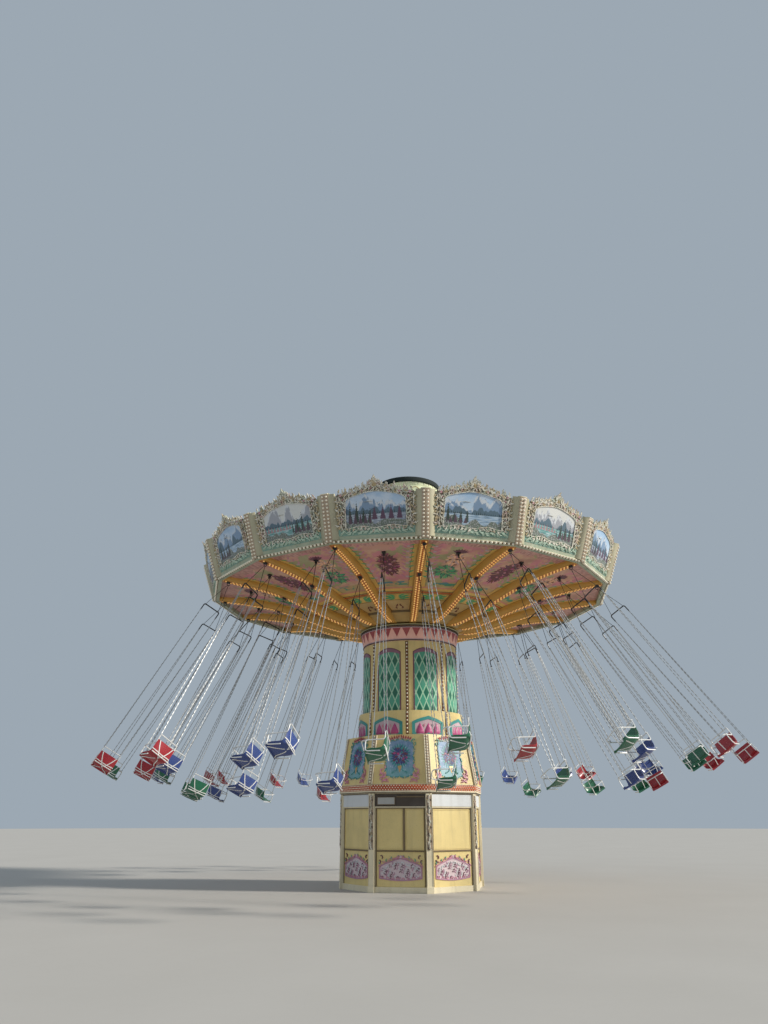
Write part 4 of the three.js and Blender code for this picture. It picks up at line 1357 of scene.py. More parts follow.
def build_collar():
    """The flared collar: dusty pink with a row of dark red points, between thin dark lines."""
    shell = Shell()
    shell.ring((
        (1.30, COLLAR_FOOT), (1.42, COLLAR_FOOT), (1.437, COLLAR_FOOT + 0.015), (1.513, COLLAR_HEAD - 0.01),
        (1.508, COLLAR_HEAD), (1.475, COLLAR_HEAD), (1.395, COLLAR_FOOT + 0.04), (1.30, COLLAR_FOOT + 0.04)),
        "dusty_pink")
    for height, paint, proud in ((0.020, "shade_brown", 0.016), (0.408, "shade_brown", 0.012),
                                 (0.048, "blush", 0.008), (0.386, "blush", 0.008)):
        radius = COLLAR_RADIUS + COLLAR_FLARE * height
        outer, inner = radius + proud, radius - 0.01
        low, high = COLLAR_FOOT + height - 0.011, COLLAR_FOOT + height + 0.011
        shell.ring(((outer, low), (outer, high), (inner, high), (inner, low)), paint)
    half = 0.41 * 2 * math.pi * COLLAR_RADIUS / COLLAR_POINTS
    point = plaque([-half, 0.0, half], lambda x: 0.368 - 0.25 * (1 - np.abs(x) / half), 0.376, 0.0, 0.006)
    for number in range(COLLAR_POINTS):
        azimuth = drum_edge(0) + number * 360 / COLLAR_POINTS
        shell.on(Barrel(azimuth, COLLAR_RADIUS, COLLAR_FOOT, COLLAR_FLARE), point, "collar_red")
    shell.build("collar_skin", "tower", "dusty_pink", node="collar")


SWEEP_HALF = 0.10
SWEEP_CHAMFER = 0.014
SWEEP_LAMP_PITCH = 0.107
# Distances from the axis and heights of the three hanging places, and how far the swings hang below them
INNER_REACH = 4.15
OUTER_REACH = 5.85
MIDDLE_REACH = 5.10
MIDDLE_HEIGHT = 8.25
HANGER_DROP = 0.08


def straight(x, first, last, d, count):
    """A path at one x and d, from first to last along y."""
    return raised(np.column_stack([np.full(count, x), np.linspace(first, last, count)]), d)


def build_sweeps():
    """The sixteen curved sweeps, each gold with two rows of amber lamps under it and its hooks."""
    under, over = smooth_height(SWEEP_UNDERSIDE), smooth_height(SWEEP_TOPSIDE)
    reach = np.linspace(1.1505, 6.02, 22)
    low, high = under(reach)[:, None], over(reach)[:, None]
    inner = SWEEP_HALF - SWEEP_CHAMFER
    across = np.array([-SWEEP_HALF, -SWEEP_HALF, -inner, inner, SWEEP_HALF, SWEEP_HALF, inner, -inner])
    rise = np.array([0, 1, 1, 1, 1, 0, 0, 0])
    trim = np.array([1, -1, 0, 0, -1, 1, 0, 0]) * SWEEP_CHAMFER
    z = low + rise * (high - low) + trim
    for number in range(CROWN_SIDES):
        azimuth = sweep_azimuth(number)
        sweep = Shell()
        out, side = radial(azimuth), tangent(azimuth)
        rings = reach[:, None, None] * out + across[None, :, None] * side + z[..., None] * UP
        sweep.add(capped(rings), "arm_paint")
        place = Overhead(azimuth, under)
        sweep.on(place, rod(straight(0.0, 1.68, 5.99, 0.0, 24), 0.120, 0.003, 4, UP), "lamp_orange")
        for end in (-1, 1):
            edge = straight(end * 0.088, 1.7, 5.98, 0.006, 18)
            sweep.on(place, rod(edge, 0.010, 0.008, 4, UP), "gold_paint")
            along = row(1.72, 5.96, SWEEP_LAMP_PITCH) + end * SWEEP_LAMP_PITCH / 4
            clear = (np.abs(along - INNER_REACH) > 0.09) & (np.abs(along - OUTER_REACH) > 0.07)
            lamps(sweep, place, end * 0.043, along[clear], paint="bulb_amber")
        for hook in (INNER_REACH, OUTER_REACH):
            sweep.on(place, strip(0.045, hook - 0.045, hook + 0.045, 0.0, 0.055, 0.012), "black_steel")
        sweep.build(f"sweep_{number + 1:02d}", "crown", "arm_paint", 62, f"swing_arm_{number + 1:02d}")


CEILING_DROP = 0.11
CEILING_THICKNESS = 0.02
# On even and on odd ceiling panels: seed, middle, half sizes, paints of leaves and flowers, and their counts
CEILING_BOUQUETS = (
    ((100, (0.04, 4.62), (0.30, 0.46), ("salmon", "blush", "salmon"), ("oxblood", "salmon"), 70, 14),
     (300, (-0.06, 3.95), (0.40, 0.36), ("ceiling_green", "leaf_deep", "ceiling_green"),
      ("leaf_deep", "scroll_pink"), 80, 8)),
    ((100, (0.0, 4.30), (0.34, 0.82), ("plum", "oxblood", "plum"), ("scroll_pink", "magenta"), 130, 14),),
)


def build_ceiling():
    """The painted ceiling between the sweeps, with its raised rings, scrolls and bouquets."""
    over = smooth_height(SWEEP_TOPSIDE)
    flat, slope = math.cos(HALF_CROWN), math.tan(HALF_CROWN)
    rows = np.linspace(1.20, 6.045, 26)[:, None] * flat
    x = rows * slope * np.linspace(-1, 1, 5)
    boards = slab(*(np.stack(np.broadcast_arrays(x, rows, d), -1) for d in (0.0, -CEILING_THICKNESS)))
    edge = np.array([[-0.44, 3.5], [-0.60, 4.6], [-0.74, 5.45]])
    ceiling = Shell()
    for number in range(CROWN_SIDES):
        place = Overhead(sweep_azimuth(number + 0.5), lambda y: over(y / flat) - CEILING_DROP)
        ceiling.on(place, boards, "ceiling_paint")
        for reach, width, drop, paint in ((RING_REACH, 0.045, 0.012, "orange_ring"),
                                          (RING_REACH + 0.06, 0.014, 0.010, "shade_brown"),
                                          (RING_REACH - 0.06, 0.012, 0.010, "rail_brown")):
            half = (reach - width) * slope
            ceiling.on(place, strip(half, reach - width / 2, reach + width / 2, -0.004, drop), paint)
        leaves = spots([-0.04, -0.05, -0.05, -0.16, -0.17], [2.71, 2.66, 2.76, 2.68, 2.74],
                       [180, 200, 160, 192, 168], 0.21)
        ceiling.lay(place, FLAT_LEAF, mirrored(leaves), "ceiling_green", 0.001)
        scrolls = spots([-0.05, -0.09], [2.30, 2.16], [60, 100], 0.15, [1, -1])
        ceiling.lay(place, C_SCROLL, mirrored(scrolls), "oxblood", 0.001)
        if number % 2:
            ceiling.lay(place, FLAT_FLOWER, spots(0.0, [4.00, 4.30, 4.60], [0, 30, 60], 0.19), "plum", -0.016)
        else:
            ceiling.lay(place, FLAT_LEAF, spots(0.04, 4.98, np.linspace(30, 150, 7), 0.26), "plum", 0.001)
        for seed, *bunch in CEILING_BOUQUETS[number % 2]:
            bouquet(ceiling, place, 0.001, seed + number, *bunch)
        for form, pitch, offset, turn, size, paint, lift in (
                (FLAT_LEAF, 0.24, 0.0, 60, 0.17, "ceiling_green", 0.001),
                (FLAT_LEAF, 0.20, -0.07, -40, 0.20, "scroll_pink", 0.001),
                (FLAT_FLOWER, 0.31, -0.03, 0, 0.055, "blush", 0.003)):
            ceiling.lay(place, form, mirrored(beside(edge, pitch, offset, turn, size)), paint, lift)
    ceiling.build("painted_ceiling", "crown", "ceiling_paint", node="ceiling")


def build_apron():
    """The khaki apron over the collar and the gold ring round the hub, each with a dark edge."""
    apron = Shell()
    for paint, profile in (
            ("apron_khaki", ((1.30, 7.142), (1.505, 7.142), (1.53, 7.150), (1.545, 7.165), (1.545, 7.178),
                             (1.30, 7.178))),
            ("shade_brown", ((1.500, 7.136), (1.530, 7.136), (1.537, 7.150), (1.500, 7.150))),
            ("hub_gold", ((1.16, 7.232), (1.60, 7.240), (1.97, 7.462), (1.97, 7.474), (1.59, 7.256),
                          (1.16, 7.248))),
            ("rail_brown", ((1.93, 7.422), (1.99, 7.455), (1.99, 7.470), (1.93, 7.440)))):
        apron.ring(profile, paint)
    apron.build("crown_apron", "crown", "gold_paint")


HIGHER_SIDE = math.radians(3.2)
HIGHER_AZIMUTH = math.radians(28)
SPREADER_HALF = 0.245
SPREADER_DROP = 0.87
SPREADER_FOOT = SPREADER_DROP + 0.19
CHAIR_HALF = 0.227
TUBE_HALF = 0.236
ARMREST = 0.217
ARM_TUBE = 0.225
LAP_BAR = 0.235
BACK_TOP = 0.40
LINK_WIRE = np.array([[-1, -1], [-1, 1], [1, 1], [1, -1]]) * (0.0095, 0.004)
SIDEWAYS = np.array([0.0, 1.0, 0.0])


def swing_place(azimuth, radius, height, mean_out):
    """Where a swing hangs: x runs outboard, y against its flight, and z up its own chains.

    Its swing-out is the mean and a little more on one side of the ride, as the sine of the azimuth.
    """
    out = mean_out + HIGHER_SIDE * math.sin(math.radians(azimuth) - HIGHER_AZIMUTH)
    back = sizes().lean_back
    outboard = math.cos(out) * radial(azimuth) + math.sin(out) * UP
    upward = math.cos(out) * UP - math.sin(out) * radial(azimuth)
    behind = math.cos(back) * tangent(azimuth) + math.sin(back) * upward
    return Face(radius * radial(azimuth) + height * UP, outboard, behind)


def chain(shell, start, end):
    """Links along a straight line, each turned a quarter from the one before."""
    start, end = np.asarray(start, float), np.asarray(end, float)
    pitch = sizes().chain_pitch
    count = round(np.linalg.norm(end - start) / pitch)
    centres = start + (end - start) * ((np.arange(count) + 0.5) / count)[:, None]
    along = unit(end - start)
    first = unit(np.cross(SIDEWAYS, along))
    rings = [np.insert(LINK_WIRE, 1, y, axis=1) for y in (-0.58 * pitch, 0.58 * pitch)]
    link = capped(np.stack(rings)[:, ::-1])
    shell.set(link, centres[::2], first, along)
    shell.set(link, centres[1::2], np.cross(first, along), along)


def swing_chains(seat):
    """One swing's hook, rods, spreader and four chains, as two forms: black parts and chains."""
    black, chains = Shell(), Shell()
    angle = np.arange(8) * np.pi / 4
    eye = np.stack([0.045 * np.cos(angle), 0 * angle, 0.045 * np.sin(angle) + 0.01], -1)
    black.add(hoop(eye, 0.010, 0.010, 4, SIDEWAYS))
    corners = [(side * SPREADER_HALF, 0, -drop) for side, drop in (
        (-1, SPREADER_FOOT), (-1, SPREADER_DROP), (1, SPREADER_DROP), (1, SPREADER_FOOT))]
    black.add(rod(rounded(corners, 0.05), 0.017, sides=6, up=SIDEWAYS))
    for side in (-1, 1):
        x = side * SPREADER_HALF
        rod_foot = (side * (SPREADER_HALF - 0.03), 0, -SPREADER_DROP)
        black.add(rod([(side * 0.012, 0, -0.03), rod_foot], 0.008, sides=4, up=SIDEWAYS))
        black.add(rod([(x, -0.03, -SPREADER_FOOT), (x, 0.03, -SPREADER_FOOT)], 0.016, sides=6))
        chain(chains, (x, -0.02, -SPREADER_FOOT), (side * CHAIR_HALF, -0.15, seat + ARMREST))
        chain(chains, (x, 0.02, -SPREADER_FOOT), (side * CHAIR_HALF, 0.185, seat + BACK_TOP))
    return black.form(), chains.form()


# Depth and height along the seat's middle, from its front edge to the top of its back
SEAT_PROFILE = (
    (-0.215, -0.045), (-0.195, -0.008), (-0.10, -0.008), (0.04, -0.012), (0.13, 0.0), (0.18, 0.04),
    (0.20, 0.11), (0.208, 0.20), (0.216, 0.31))
SEAT_WRAP = (0.01, 0.03, 0.05, 0.05, 0.05, 0.045, 0.035, 0.03, 0.01)
SEAT_THICKNESS = 0.014


def seat_sheet(seat, columns):
    """The moulded seat's inner face: its profile carried across, with sides that curl up and round.

    A point is the profile's, moved across by its share of the half width, and off the profile along its
    inner normal by the wrap times the fourth power of that share.
    """
    profile = np.array(SEAT_PROFILE)
    along = unit(np.gradient(profile, axis=0))
    inner = np.stack([-along[:, 1], along[:, 0]], -1)
    share = np.asarray(columns, float)
    lift = np.array(SEAT_WRAP)[:, None] * np.abs(share) ** 4
    flat = profile[:, None] + inner[:, None] * lift[..., None]
    width = 0.235 * np.sign(share) * np.abs(share) ** 0.9
    x = np.broadcast_to(width, flat.shape[:2])
    return np.stack([x, flat[..., 0], seat + flat[..., 1]], -1)


def seat_form(seat):
    """The closed shell of the seat, of one thickness along its own normals, and its outer face."""
    inside = seat_sheet(seat, np.linspace(-1, 1, 11))
    rise, across = np.gradient(inside, axis=0), np.gradient(inside, axis=1)
    normal = unit(np.cross(across, rise))
    outside = inside - SEAT_THICKNESS * normal
    return slab(inside, outside), outside - 0.004 * normal, normal


def strap(outer, normal, lines):
    """Flat webbing over the seat's outer face. A line is a list of row and column places on its grid."""
    rows, columns = outer.shape[:2]
    line = np.array(lines, float)
    steps = np.linspace(0, len(line) - 1, 9)
    r = np.interp(steps, np.arange(len(line)), line[:, 0]) * (rows - 1)
    c = np.interp(steps, np.arange(len(line)), line[:, 1]) * (columns - 1)
    i, j = np.clip(r.astype(int), 0, rows - 2), np.clip(c.astype(int), 0, columns - 2)
    u, v = (r - i)[:, None], (c - j)[:, None]

    def pick(grid):
        return ((1 - u) * (1 - v) * grid[i, j] + u * (1 - v) * grid[i + 1, j]
                + (1 - u) * v * grid[i, j + 1] + u * v * grid[i + 1, j + 1])

    return rod(pick(outer), 0.014, 0.004, 4, unit(pick(normal)))


def chair_frame(seat):
    """The chair's white tubes: a side frame at each end, rails along the back, a lap bar and its strap."""
    tubes = Shell()
    for x in (-TUBE_HALF, TUBE_HALF):
        side = [(x, y, seat + z) for y, z in (
            (0.20, 0.41), (0.195, ARM_TUBE), (-0.205, ARM_TUBE), (-0.205, -0.02), (0.10, -0.03))]
        tubes.add(rod(rounded(side, 0.05, 3), 0.013, sides=5, up=np.array([1.0, 0, 0])))
    lap = [(x, y, seat + LAP_BAR) for x, y in (
        (-TUBE_HALF, -0.13), (-0.20, -0.30), (0.20, -0.30), (TUBE_HALF, -0.13))]
    tubes.add(rod(rounded(lap, 0.07, 4), 0.012, sides=5))
    for y, z in ((0.222, 0.42), (0.205, 0.03)):
        tubes.add(rod([(-TUBE_HALF, y, seat + z), (TUBE_HALF, y, seat + z)], 0.012, sides=5))
    down = [(0, y, seat + z) for y, z in ((-0.295, LAP_BAR), (-0.25, 0.1), (-0.20, -0.01))]
    tubes.add(rod(down, 0.014, 0.003, 4, SIDEWAYS))
    return tubes.form()


def build_swings():
    """Forty-eight flying chairs with their chains, three to a sweep."""
    seat = -sizes().swing_length
    black, chains = swing_chains(seat)
    shell, outer, normal = seat_form(seat)
    straps = [strap(outer, normal, lines) for lines in (
        [(1.0, 0.12), (0.55, 0.5), (0.04, 0.88)], [(1.0, 0.88), (0.55, 0.5), (0.04, 0.12)],
        [(0.72, 0.0), (0.70, 0.5), (0.72, 1.0)])]
    tubes = chair_frame(seat)
    under = smooth_height(SWEEP_UNDERSIDE)
    middle_reach = MIDDLE_REACH * math.cos(HALF_CROWN)
    hangs = (("outer", OUTER_REACH, float(under(OUTER_REACH)), 0.0, sizes().outer_out),
             ("inner", INNER_REACH, float(under(INNER_REACH)), 0.0, sizes().inner_out),
             ("middle", middle_reach, MIDDLE_HEIGHT, CROWN_STEP / 2, sizes().middle_out))
    paint_of = {"r": "chair_red", "g": "chair_green", "b": "chair_blue"}
    for number in range(CROWN_SIDES):
        node = f"swing_arm_{number + 1:02d}"
        hanging = Shell()
        for rank, (name, radius, height, turn, mean_out) in enumerate(hangs):
            azimuth = sweep_azimuth(number) + turn
            place = swing_place(azimuth, radius, height - HANGER_DROP, mean_out)
            hanging.on(place, chains, "chain_steel")
            hanging.on(place, black, "black_steel")
            if name == "middle":
                purlin = Overhead(azimuth, lambda y: np.full_like(y, MIDDLE_HEIGHT))
                for half, *depths in ((0.05, -0.02, 0.03, 0.01), (0.02, 0.03, 0.09)):
                    hanging.on(purlin, strip(half, radius - half, radius + half, *depths), "black_steel")
            paint = paint_of[CHAIR_COLOURS[3 * number + rank]]
            chair = Shell("white_tube")
            chair.on(place, shell, paint)
            for part in (*straps, tubes):
                chair.on(place, part)
            chair.build(f"chair_{number + 1:02d}_{name}", "crown", paint, 50, node)
        hanging.build(f"swing_chains_{number + 1:02d}", "crown", "chain_steel", node=node)


def board_surface(number):
    """The outer face of a rounding board, from its lower edge."""
    foot, head = (radius * math.cos(HALF_CROWN) for radius in (sizes().rim_radius, sizes().crest_radius))
    return leaning(sweep_azimuth(number + 0.5), foot, sizes().rim_height, head - foot, sizes().board_rise)


def corner_surface(number, proud):
    """The outer face of the pilaster at a corner of the crown."""
    foot, head = sizes().rim_radius, sizes().crest_radius
    return leaning(sweep_azimuth(number), foot + proud, sizes().rim_height, head - foot, sizes().board_rise)


PICTURE_HALF = 0.77
CARVED_HALF = 0.985


def picture_top(x):
    share = np.clip(np.abs(x) / PICTURE_HALF, 0, 1)
    return 1.0 + 0.22 * np.sqrt(1 - share ** 2) + 0.03 * np.exp(-(x / 0.3) ** 2)


def picture_foot(x):
    return 0.36 - 0.03 * np.cos(2 * np.pi * x / PICTURE_HALF)


def board_brow(x):
    """The carved ground's upper edge: it rises from the board's ends in two bows to the crest."""
    share = np.abs(x) / CARVED_HALF
    return 1.20 + 0.09 * (1 - share ** 2) + 0.17 * np.exp(-(x / 0.24) ** 2)


# Carving round the picture: form, pitch, offset, turn, size, flips and paint
PICTURE_CARVING = (
    (C_SCROLL, 0.130, 0.030, 0, 0.16, (1, -1), "carving_cream"),
    (S_SCROLL, 0.130, 0.105, 8, 0.18, (1, -1), "carving_cream"),
    (LEAF, 0.105, -0.005, 62, 0.12, (1,), "carving_cream"),
    (LEAF, 0.150, 0.085, 115, 0.12, (-1,), "old_gold"),
    (C_SCROLL, 0.130, 0.165, 170, 0.17, (1, -1), "carving_cream"),
    (LEAF, 0.190, 0.150, 75, 0.13, (1, -1), "carving_cream"),
    (BLOSSOM, 0.230, 0.090, 0, 0.036, (1,), "scroll_pink"),
    (BLOSSOM, 0.330, 0.160, 30, 0.038, (1,), "carving_cream"),
)
# Carving up the board's ends, along its foot and along its brow, as trail takes it
END_CARVING = (
    (S_SCROLL, 0.12, 0.0, 0, 0.16, 10, "carving_cream", 0.006),
    (LEAF, 0.10, -0.01, 130, 0.11, 11, "old_gold", 0.004),
)
FOOT_CARVING = (
    (S_SCROLL, 0.15, 0.02, 25, 0.21, 13, "pale_green", 0.006),
    (LEAF, 0.13, -0.03, 35, 0.15, 15, "pale_green", 0.004),
    (C_SCROLL, 0.17, 0.08, 180, 0.16, 14, "carving_cream", 0.008),
    (LEAF, 0.26, 0.05, 120, 0.13, 16, "leaf_sage", 0.006),
)
BROW_CARVING = (
    (C_SCROLL, 0.11, 0.0, 0, 0.17, 18, "carving_cream", 0.008),
    (S_SCROLL, 0.13, -0.06, 10, 0.17, 21, "carving_cream", 0.004),
    (LEAF, 0.085, 0.0, 65, 0.12, 19, "carving_cream", 0.002),
    (LEAF, 0.23, -0.08, 20, 0.13, 20, "old_gold", 0.010),
)


def board_carving(board, place, seed):
    """One board's carving: scrolls, leaves and flowers round the picture on a dark plate of painted shade,
    and its crest.
    """
    x = bowed(CARVED_HALF, 21)
    # A dark plate of painted shade lies under the carving and shows in the gaps between its scrolls.
    board.on(place, plaque(x, 0.33, board_brow, 0.0, 0.005, 3), "carving_shade")
    board.on(place, plaque(x, 0.16, 0.345, 0.0, 0.006), "sea_green")
    x = bowed(PICTURE_HALF, 17)
    board.on(place, hoop(raised(outline(x, picture_foot, picture_top), 0.018), 0.016, 0.020), "carving_cream")
    edge = left_side(x, picture_foot, picture_top)
    for order, (form, pitch, offset, turn, size, flips, paint) in enumerate(PICTURE_CARVING):
        ring = beside(edge, pitch, offset, turn, size, flips)
        ring = ring[(ring[:, 1] > 0.34) & (np.abs(ring[:, 0]) < 0.93)]
        board.lay(place, form, shaken(mirrored(ring), seed + order), paint, 0.004 + 0.004 * (order % 3))
    left = np.linspace(-0.97, 0, 18)
    brow = np.stack([left, board_brow(np.clip(left, -CARVED_HALF, 0)) + 0.005], -1)
    end, foot = [[-0.91, 0.36], [-0.98, 1.16]], [[-0.95, 0.22], [0.0, 0.22]]
    for path, rows in ((end, END_CARVING), (foot, FOOT_CARVING), (brow, BROW_CARVING)):
        board.trail(place, path, rows, seed)
    flowers = mirrored(spots([-0.34, -0.62, -0.88], [1.27, 1.22, 1.18], 0, 0.045))
    board.lay(place, BLOSSOM, flowers, "scroll_pink", 0.014)
    fan = np.linspace(25, 155, 7)
    board.lay(place, LEAF, spots(0.0, 1.42, fan, np.where(fan == 90, 0.24, 0.17)), "carving_cream", 0.012)
    wings = mirrored(spots([-0.10, -0.23], [1.42, 1.34], [55, 30], [0.25, 0.23]))
    board.lay(place, C_SCROLL, wings, "carving_cream", 0.014)
    board.lay(place, BLOSSOM, spots(0.0, [1.42, 1.60], 0, [0.07, 0.028]), "old_gold", 0.020)


def build_rounding_boards():
    """Pictures and carving of the sixteen rounding boards."""
    pictures = Shell("picture_paint")
    panel = plaque(bowed(PICTURE_HALF, 21), picture_foot, picture_top, 0.0, 0.010, 3)
    for quarter in range(4):
        paint_node(f"rounding_boards_{quarter + 1}", "sage_board")
        board = Shell()
        for number in range(4 * quarter, 4 * quarter + 4):
            place = board_surface(number)
            pictures.on(place, panel, shift=PICTURE_STEP * number)
            board_carving(board, place, 30 * number)
        board.build(f"board_carvings_{quarter + 1}", "crown", "carving_cream", 50)
    pictures.build("board_pictures", "crown", "picture_paint")


PILASTER_LAMP_PITCH = 0.094
RIM_LAMP_PITCH = 0.115
PILASTER_OUT = 0.025
PILASTER_HEAD = 1.22
PILASTER_FRONT = 0.100
PILASTER_PROUD = 0.045
PILASTER = ((-0.245, -0.080), (0.245, -0.080), (0.245, -0.066), (PILASTER_FRONT, PILASTER_PROUD),
            (-PILASTER_FRONT, PILASTER_PROUD), (-0.245, -0.066))


def build_board_strips():
    """The pilasters with their lamp strips, the rim's lamps, and battens behind the boards."""
    shell = Shell()
    column = row(0.0, PILASTER_HEAD - 0.01, PILASTER_LAMP_PITCH)
    front = PILASTER_PROUD + 0.005
    for number in range(CROWN_SIDES):
        corner = corner_surface(number, PILASTER_OUT)
        shell.on(corner, prism(PILASTER, 0.055, PILASTER_HEAD), "pilaster_khaki")
        shell.on(corner, strip(PILASTER_FRONT, 0.0, PILASTER_HEAD, 0.030, front), "lamp_tan")
        cap = strip(PILASTER_FRONT, PILASTER_HEAD, PILASTER_HEAD + 0.025, -0.06, PILASTER_PROUD + 0.012)
        shell.on(corner, cap, "cream_paint")
        for side in (-0.052, 0.052):
            lamps(shell, corner, side, column, front, 1.1)
        place = board_surface(number)
        shell.on(place, strip(1.165, 0.0, 0.050, -0.01, 0.026), "rail_brown")
        shell.on(place, strip(1.160, 0.050, 0.066, -0.01, 0.022), "cream_paint")
        lamps(shell, place, row(-1.15, 1.15, RIM_LAMP_PITCH), 0.026, 0.026, 1.3)
        for batten in (-0.8, 0.0, 0.8):
            shell.on(place, block(batten - 0.04, batten + 0.04, 0.28, 1.14, -0.10, -0.062), "timber")
    shell.build("board_strips", "crown", "cream_paint", 65)


ROOF_EAVE = (6.365, 9.145)
ROOF_HEAD = (0.995, 11.345)
ROOF_SHEET = 0.008
ROOF_SAG = 0.06


def build_roof_cover():
    """The canvas roof: one sheet over sixteen hips that sags a little between them.

    Height is the straight hip line less a sag, which is greatest halfway up and midway between hips.
    """
    share = np.linspace(0, 1, 15)[:, None]
    azimuth = np.arange(CROWN_SIDES * 6) * CROWN_STEP / 6
    off_middle = (azimuth % CROWN_STEP) - CROWN_STEP / 2
    reach = ROOF_EAVE[0] + share * (ROOF_HEAD[0] - ROOF_EAVE[0])
    radius = reach * math.cos(HALF_CROWN) / np.cos(np.radians(off_middle))
    between = 1 - (off_middle / (CROWN_STEP / 2)) ** 2
    height = ROOF_EAVE[1] + share * (ROOF_HEAD[1] - ROOF_EAVE[1]) - ROOF_SAG * np.sin(np.pi * share) * between
    turn = np.radians(sizes().crown_azimuth - azimuth)
    layers = [np.stack([radius * np.sin(turn), -radius * np.cos(turn), height - drop], -1)
              for drop in (0.0, ROOF_SHEET)]
    sheet = endless(np.concatenate([layers[0], layers[1][::-1]]))
    pattern = np.stack([radius * np.radians(off_middle), reach + 0 * radius], -1).reshape(-1, 2)
    canvas = Shell("roof_canvas")
    canvas.put(sheet.points, sheet.blocks, pattern=np.concatenate([pattern, pattern[::-1]]))
    piece = canvas.build("roof_cover", "crown", "roof_canvas", 30, "roof")


def build_roof_trim():
    """The battens over the roof's hips, the rafters under them, and the ring at the roof's head."""
    trim = Shell("timber")
    for number in range(CROWN_SIDES):
        out = radial(sweep_azimuth(number))
        eave, head = (reach * out + (height + 0.012) * UP for reach, height in (ROOF_EAVE, ROOF_HEAD))
        trim.add(rod(np.linspace(eave, head, 6), 0.03, 0.012, 6))
        trim.add(rod([eave - 0.05 * UP, head - 0.05 * UP], 0.03, 0.03, 4))
    trim.ring(((0.985, 11.345), (1.03, 11.345), (1.03, 11.375), (0.985, 11.385)))
    trim.build("roof_trim", "crown", "sage_board")


CUPOLA_RADIUS = 0.98
CUPOLA_PANEL_FOOT = 11.45
CUPOLA_LAMPS_HEIGHT = 11.988


def build_cupola():
    """The cupola: a round pale drum with mouldings under a dark domed lid."""
    drum = Shell()
    drum.ring((
        (1.01, 11.3405), (1.01, 11.40), (0.99, 11.42), (CUPOLA_RADIUS, CUPOLA_PANEL_FOOT),
        (CUPOLA_RADIUS, 11.90), (0.995, 11.93), (1.02, 11.96), (1.02, 12.015), (0.92, 12.015),
        (0.92, 11.3405)), "cupola_paint")
    line = hoop(arch_frame(0.13, 0.05, arch(0.13, 0.34, 0.07), 0.004, 7), 0.010, 0.008)
    for number in range(CROWN_SIDES):
        drum.on(Barrel(sweep_azimuth(number + 0.5), CUPOLA_RADIUS, CUPOLA_PANEL_FOOT), line, "gilding")
        corner = Barrel(sweep_azimuth(number), 1.02, CUPOLA_LAMPS_HEIGHT)
        lamps(drum, corner, [-0.10, 0.10], 0.0, 0.0, 0.8)
    drum.build("cupola_wall", "crown", "cupola_paint", 50, "cupola_drum")

    lid = Shell("lid_paint")
    lid.add(turned((
        (1.05, 12.0155), (1.075, 12.025), (1.08, 12.045), (1.08, 12.145), (1.07, 12.17), (1.03, 12.187),
        (0.80, 12.213), (0.50, 12.228), (0.20, 12.2345), (0.05, 12.2352)), 72))
    lid.build("cupola_cap", "crown", "lid_paint", 50, "cupola_lid")


NODE_PAINTS = {
    "base_floor": "machine_steel", "turntable": "machine_steel", "mast": "machine_steel",
    "crown_hub": "machine_steel", "base_frame": "cream_paint", "base_cornice": "cream_paint",
    "skirt": "yellow_panel",
}


def paint_frame():
    """Finishes of the nodes whose own shape shows."""
    for side in range(BASE_SIDES):
        paint_node(f"wall_panel_{side + 1}", "yellow_panel")
    for node, paint in NODE_PAINTS.items():
        paint_node(node, paint)


CAMERA_DISTANCE = 24
CAMERA_AZIMUTH = 9.5
CAMERA_HEIGHT = 1.8
CAMERA_PITCH = 21.7
CAMERA_ASIDE = 1.918
CAMERA_LENS = 27.07

# Name, azimuth, elevation, strength, spread and colour of each light
STUDIO_LIGHTS = (
    ("key", 91, 26, 4.4, 6, (1.0, 0.95, 0.86)),
    ("fill", -45, 30, 0.25, 60, (0.85, 0.92, 1.0)),
)


def stand(name, data, tilt, azimuth):
    """Puts a camera, light or mesh into the scene, tilted up from straight down and turned to an azimuth."""
    thing = bpy.data.objects.new(name, data)
    thing.rotation_euler = (math.radians(tilt), 0, math.radians(azimuth))
    bpy.context.scene.collection.objects.link(thing)
    return thing


def build_stage():
    """Camera, pale floor, pale world and soft light from the right."""
    scene = bpy.context.scene
    camera = bpy.data.cameras.new("camera")
    camera.lens = CAMERA_LENS
    camera.sensor_width = 36
    camera.clip_end = 1000
    scene.camera = stand("camera", camera, 90 + CAMERA_PITCH, CAMERA_AZIMUTH + CAMERA_ASIDE)
    scene.camera.location = CAMERA_DISTANCE * radial(CAMERA_AZIMUTH) + CAMERA_HEIGHT * UP

    disc = turned([(150.0, -0.05), (150.0, 0.0)], 96)
    mesh = bpy.data.meshes.new("studio_floor")
    mesh.from_pydata(disc.points.tolist(), [], [face.tolist() for faces in disc.blocks for face in faces])
    made = Finish("studio_floor", (0.48, 0.46, 0.43), 0.8)
    made.over((0.43, 0.41, 0.38), made.noise(0.4, 3.0))
    mesh.materials.append(made.done(0.05, 6))
    stand("studio_floor", mesh, 0, 0)

    world = bpy.data.worlds.new("studio")
    world.use_nodes = True
    sky = world.node_tree.nodes["Background"]
    sky.inputs[0].default_value = (0.74, 0.87, 1.0, 1)
    sky.inputs[1].default_value = 0.45
    scene.world = world
    scene.view_settings.view_transform = "Standard"
    for name, azimuth, elevation, strength, spread, colour in STUDIO_LIGHTS:
        light = bpy.data.lights.new(name, "SUN")
        light.energy = strength
        light.angle = math.radians(spread)
        light.color = colour
        stand(name, light, 90 - elevation, azimuth)


def build_all(*builders):
    """Builds an operator's pieces and gives what its execute returns."""
    for build in builders:
        build()
    return {"FINISHED"}


class SWINGRIDE_OT_stage(bpy.types.Operator):
    """Sets up the camera, floor, world and lights."""

    bl_idname = "swing_ride.stage"
    bl_label = "Stage"

    def execute(self, context):
        return build_all(build_stage)


